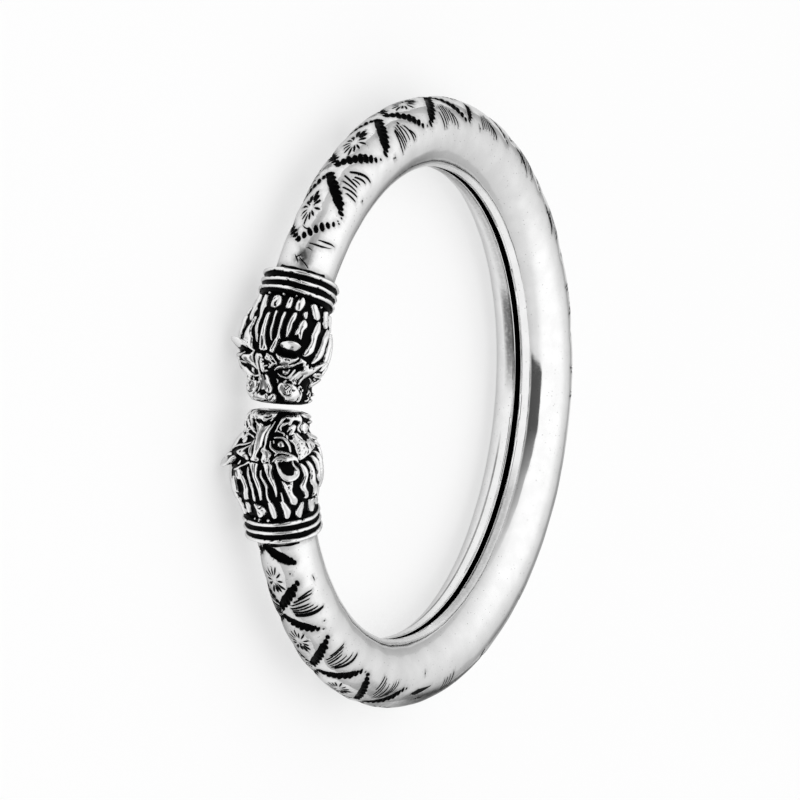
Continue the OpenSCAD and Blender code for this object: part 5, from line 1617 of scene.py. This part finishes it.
def photo_camera(studio, place):
    """Camera at the photograph's angle to the hoop, moved with the hoop as it leans."""
    az, el = studio.azimuth, studio.elevation
    out = Vector((-math.sin(az) * math.cos(el), -math.cos(az) * math.cos(el), math.sin(el)))
    level = out.to_track_quat("Z", "Y").to_matrix().to_4x4()
    pose = Matrix.Translation(out * studio.distance) @ level @ Matrix.Rotation(studio.roll, 4, "Z")
    data = bpy.data.cameras.new("photo_camera")
    data.lens = studio.lens
    data.sensor_width = 36.0
    data.shift_x = -PHOTO_RIGHT / PHOTO_SIDE
    data.shift_y = PHOTO_DOWN / PHOTO_SIDE
    data.clip_start = 0.05
    data.clip_end = 10.0
    camera = bpy.data.objects.new("photo_camera", data)
    camera.matrix_world = place @ pose
    bpy.context.scene.collection.objects.link(camera)
    bpy.context.scene.camera = camera


# Operators


class BANGLE_OT_stage(bpy.types.Operator):
    """Make the camera, the white tent and the table"""
    bl_idname = "bangle.stage"
    bl_label = "Stage"

    def execute(self, context):
        studio = context.scene.bangle_studio
        hoop = Hoop(context.scene.bangle_sizes)
        photo_camera(studio, standing(hoop))
        tent_world(studio)
        soft_lamp(studio)
        half = 1.5
        mesh = bpy.data.meshes.new("table")
        mesh.from_pydata([(-half, -half, 0), (half, -half, 0), (half, half, 0), (-half, half, 0)],
                         [], [(0, 1, 2, 3)])
        mesh.materials.append(table_material())
        table = bpy.data.objects.new("table", mesh)
        table.location.z = -0.00002
        context.scene.collection.objects.link(table)
        context.scene.view_settings.view_transform = "Standard"
        return {"FINISHED"}


class BANGLE_OT_hoop_tube(bpy.types.Operator):
    """Make the hollow tube with its punched marks, flat band and open seam"""
    bl_idname = "bangle.hoop_tube"
    bl_label = "Hoop tube"

    def execute(self, context):
        hoop = Hoop(context.scene.bangle_sizes)
        finish = context.scene.bangle_finish
        points, faces, black, smudge = tube_mesh(hoop)
        piece = new_piece("punched_tube", points, faces, hoop, black=black, smudge=smudge)
        material = silver_material("polished_silver", finish, 1, finish.polish * 0.65)
        finish_piece(piece, material, "hoop_tube")
        return {"FINISHED"}


class BANGLE_OT_collars(bpy.types.Operator):
    """Make the ridged collars where the heads meet the tube"""
    bl_idname = "bangle.collars"
    bl_label = "Collars"

    def execute(self, context):
        hoop = Hoop(context.scene.bangle_sizes)
        finish = context.scene.bangle_finish
        material = silver_material("ridged_silver", finish, -1, finish.polish * 0.8)
        for side, wear in COLLARS.items():
            points, faces, silver = collar_mesh(hoop, *wear)
            piece = new_piece(f"ridged_collar_{side}", points, faces, hoop, black=silver, smudge=0 * silver)
            finish_piece(piece, material, f"collar_{side}")
        return {"FINISHED"}


class BANGLE_OT_lion_heads(bpy.types.Operator):
    """Make the two cast lion heads"""
    bl_idname = "bangle.lion_heads"
    bl_label = "Lion heads"

    def execute(self, context):
        hoop = Hoop(context.scene.bangle_sizes)
        finish = context.scene.bangle_finish
        material = silver_material("cast_silver", finish, -1, finish.polish)
        castings = (("left", LOCKS_LEFT, FACE_LEFT, EARS_LEFT, DOTS_LEFT, [], 31),
                    ("right", LOCKS_RIGHT, FACE_RIGHT, EARS_RIGHT, DOTS_RIGHT, DENTS_RIGHT, 47))
        for side, *tables in castings:
            points, faces, silver, grey = head_mesh(hoop, *tables)
            piece = new_piece(f"cast_lion_head_{side}", points, faces, hoop, black=silver, smudge=grey)
            finish_piece(piece, material, f"lion_head_{side}")
        return {"FINISHED"}


class BANGLE_PT_sidebar(bpy.types.Panel):
    """Sizes, finishes and operators of the bangle"""
    bl_idname = "BANGLE_PT_sidebar"
    bl_label = "Lion head bangle"
    bl_space_type = "VIEW_3D"
    bl_region_type = "UI"
    bl_category = "Bangle"

    def draw(self, context):
        layout = self.layout
        for group in (context.scene.bangle_sizes, context.scene.bangle_finish, context.scene.bangle_studio):
            box = layout.box()
            for key in group.bl_rna.properties.keys():
                if key not in ("rna_type", "name"):
                    box.prop(group, key)
        for operator in OPERATORS:
            layout.operator(operator.bl_idname)


OPERATORS = (BANGLE_OT_stage, BANGLE_OT_hoop_tube, BANGLE_OT_collars, BANGLE_OT_lion_heads)
CLASSES = (BangleSizes, BangleFinish, BangleStudio, *OPERATORS, BANGLE_PT_sidebar)


def register():
    for cls in CLASSES:
        bpy.utils.register_class(cls)
    bpy.types.Scene.bangle_sizes = PointerProperty(type=BangleSizes)
    bpy.types.Scene.bangle_finish = PointerProperty(type=BangleFinish)
    bpy.types.Scene.bangle_studio = PointerProperty(type=BangleStudio)


def unregister():
    del bpy.types.Scene.bangle_studio
    del bpy.types.Scene.bangle_finish
    del bpy.types.Scene.bangle_sizes
    for cls in reversed(CLASSES):
        bpy.utils.unregister_class(cls)


def main():
    register()
    bpy.ops.bangle.stage()
    bpy.ops.bangle.hoop_tube()
    bpy.ops.bangle.collars()
    bpy.ops.bangle.lion_heads()


if __name__ == "__main__":
    main()
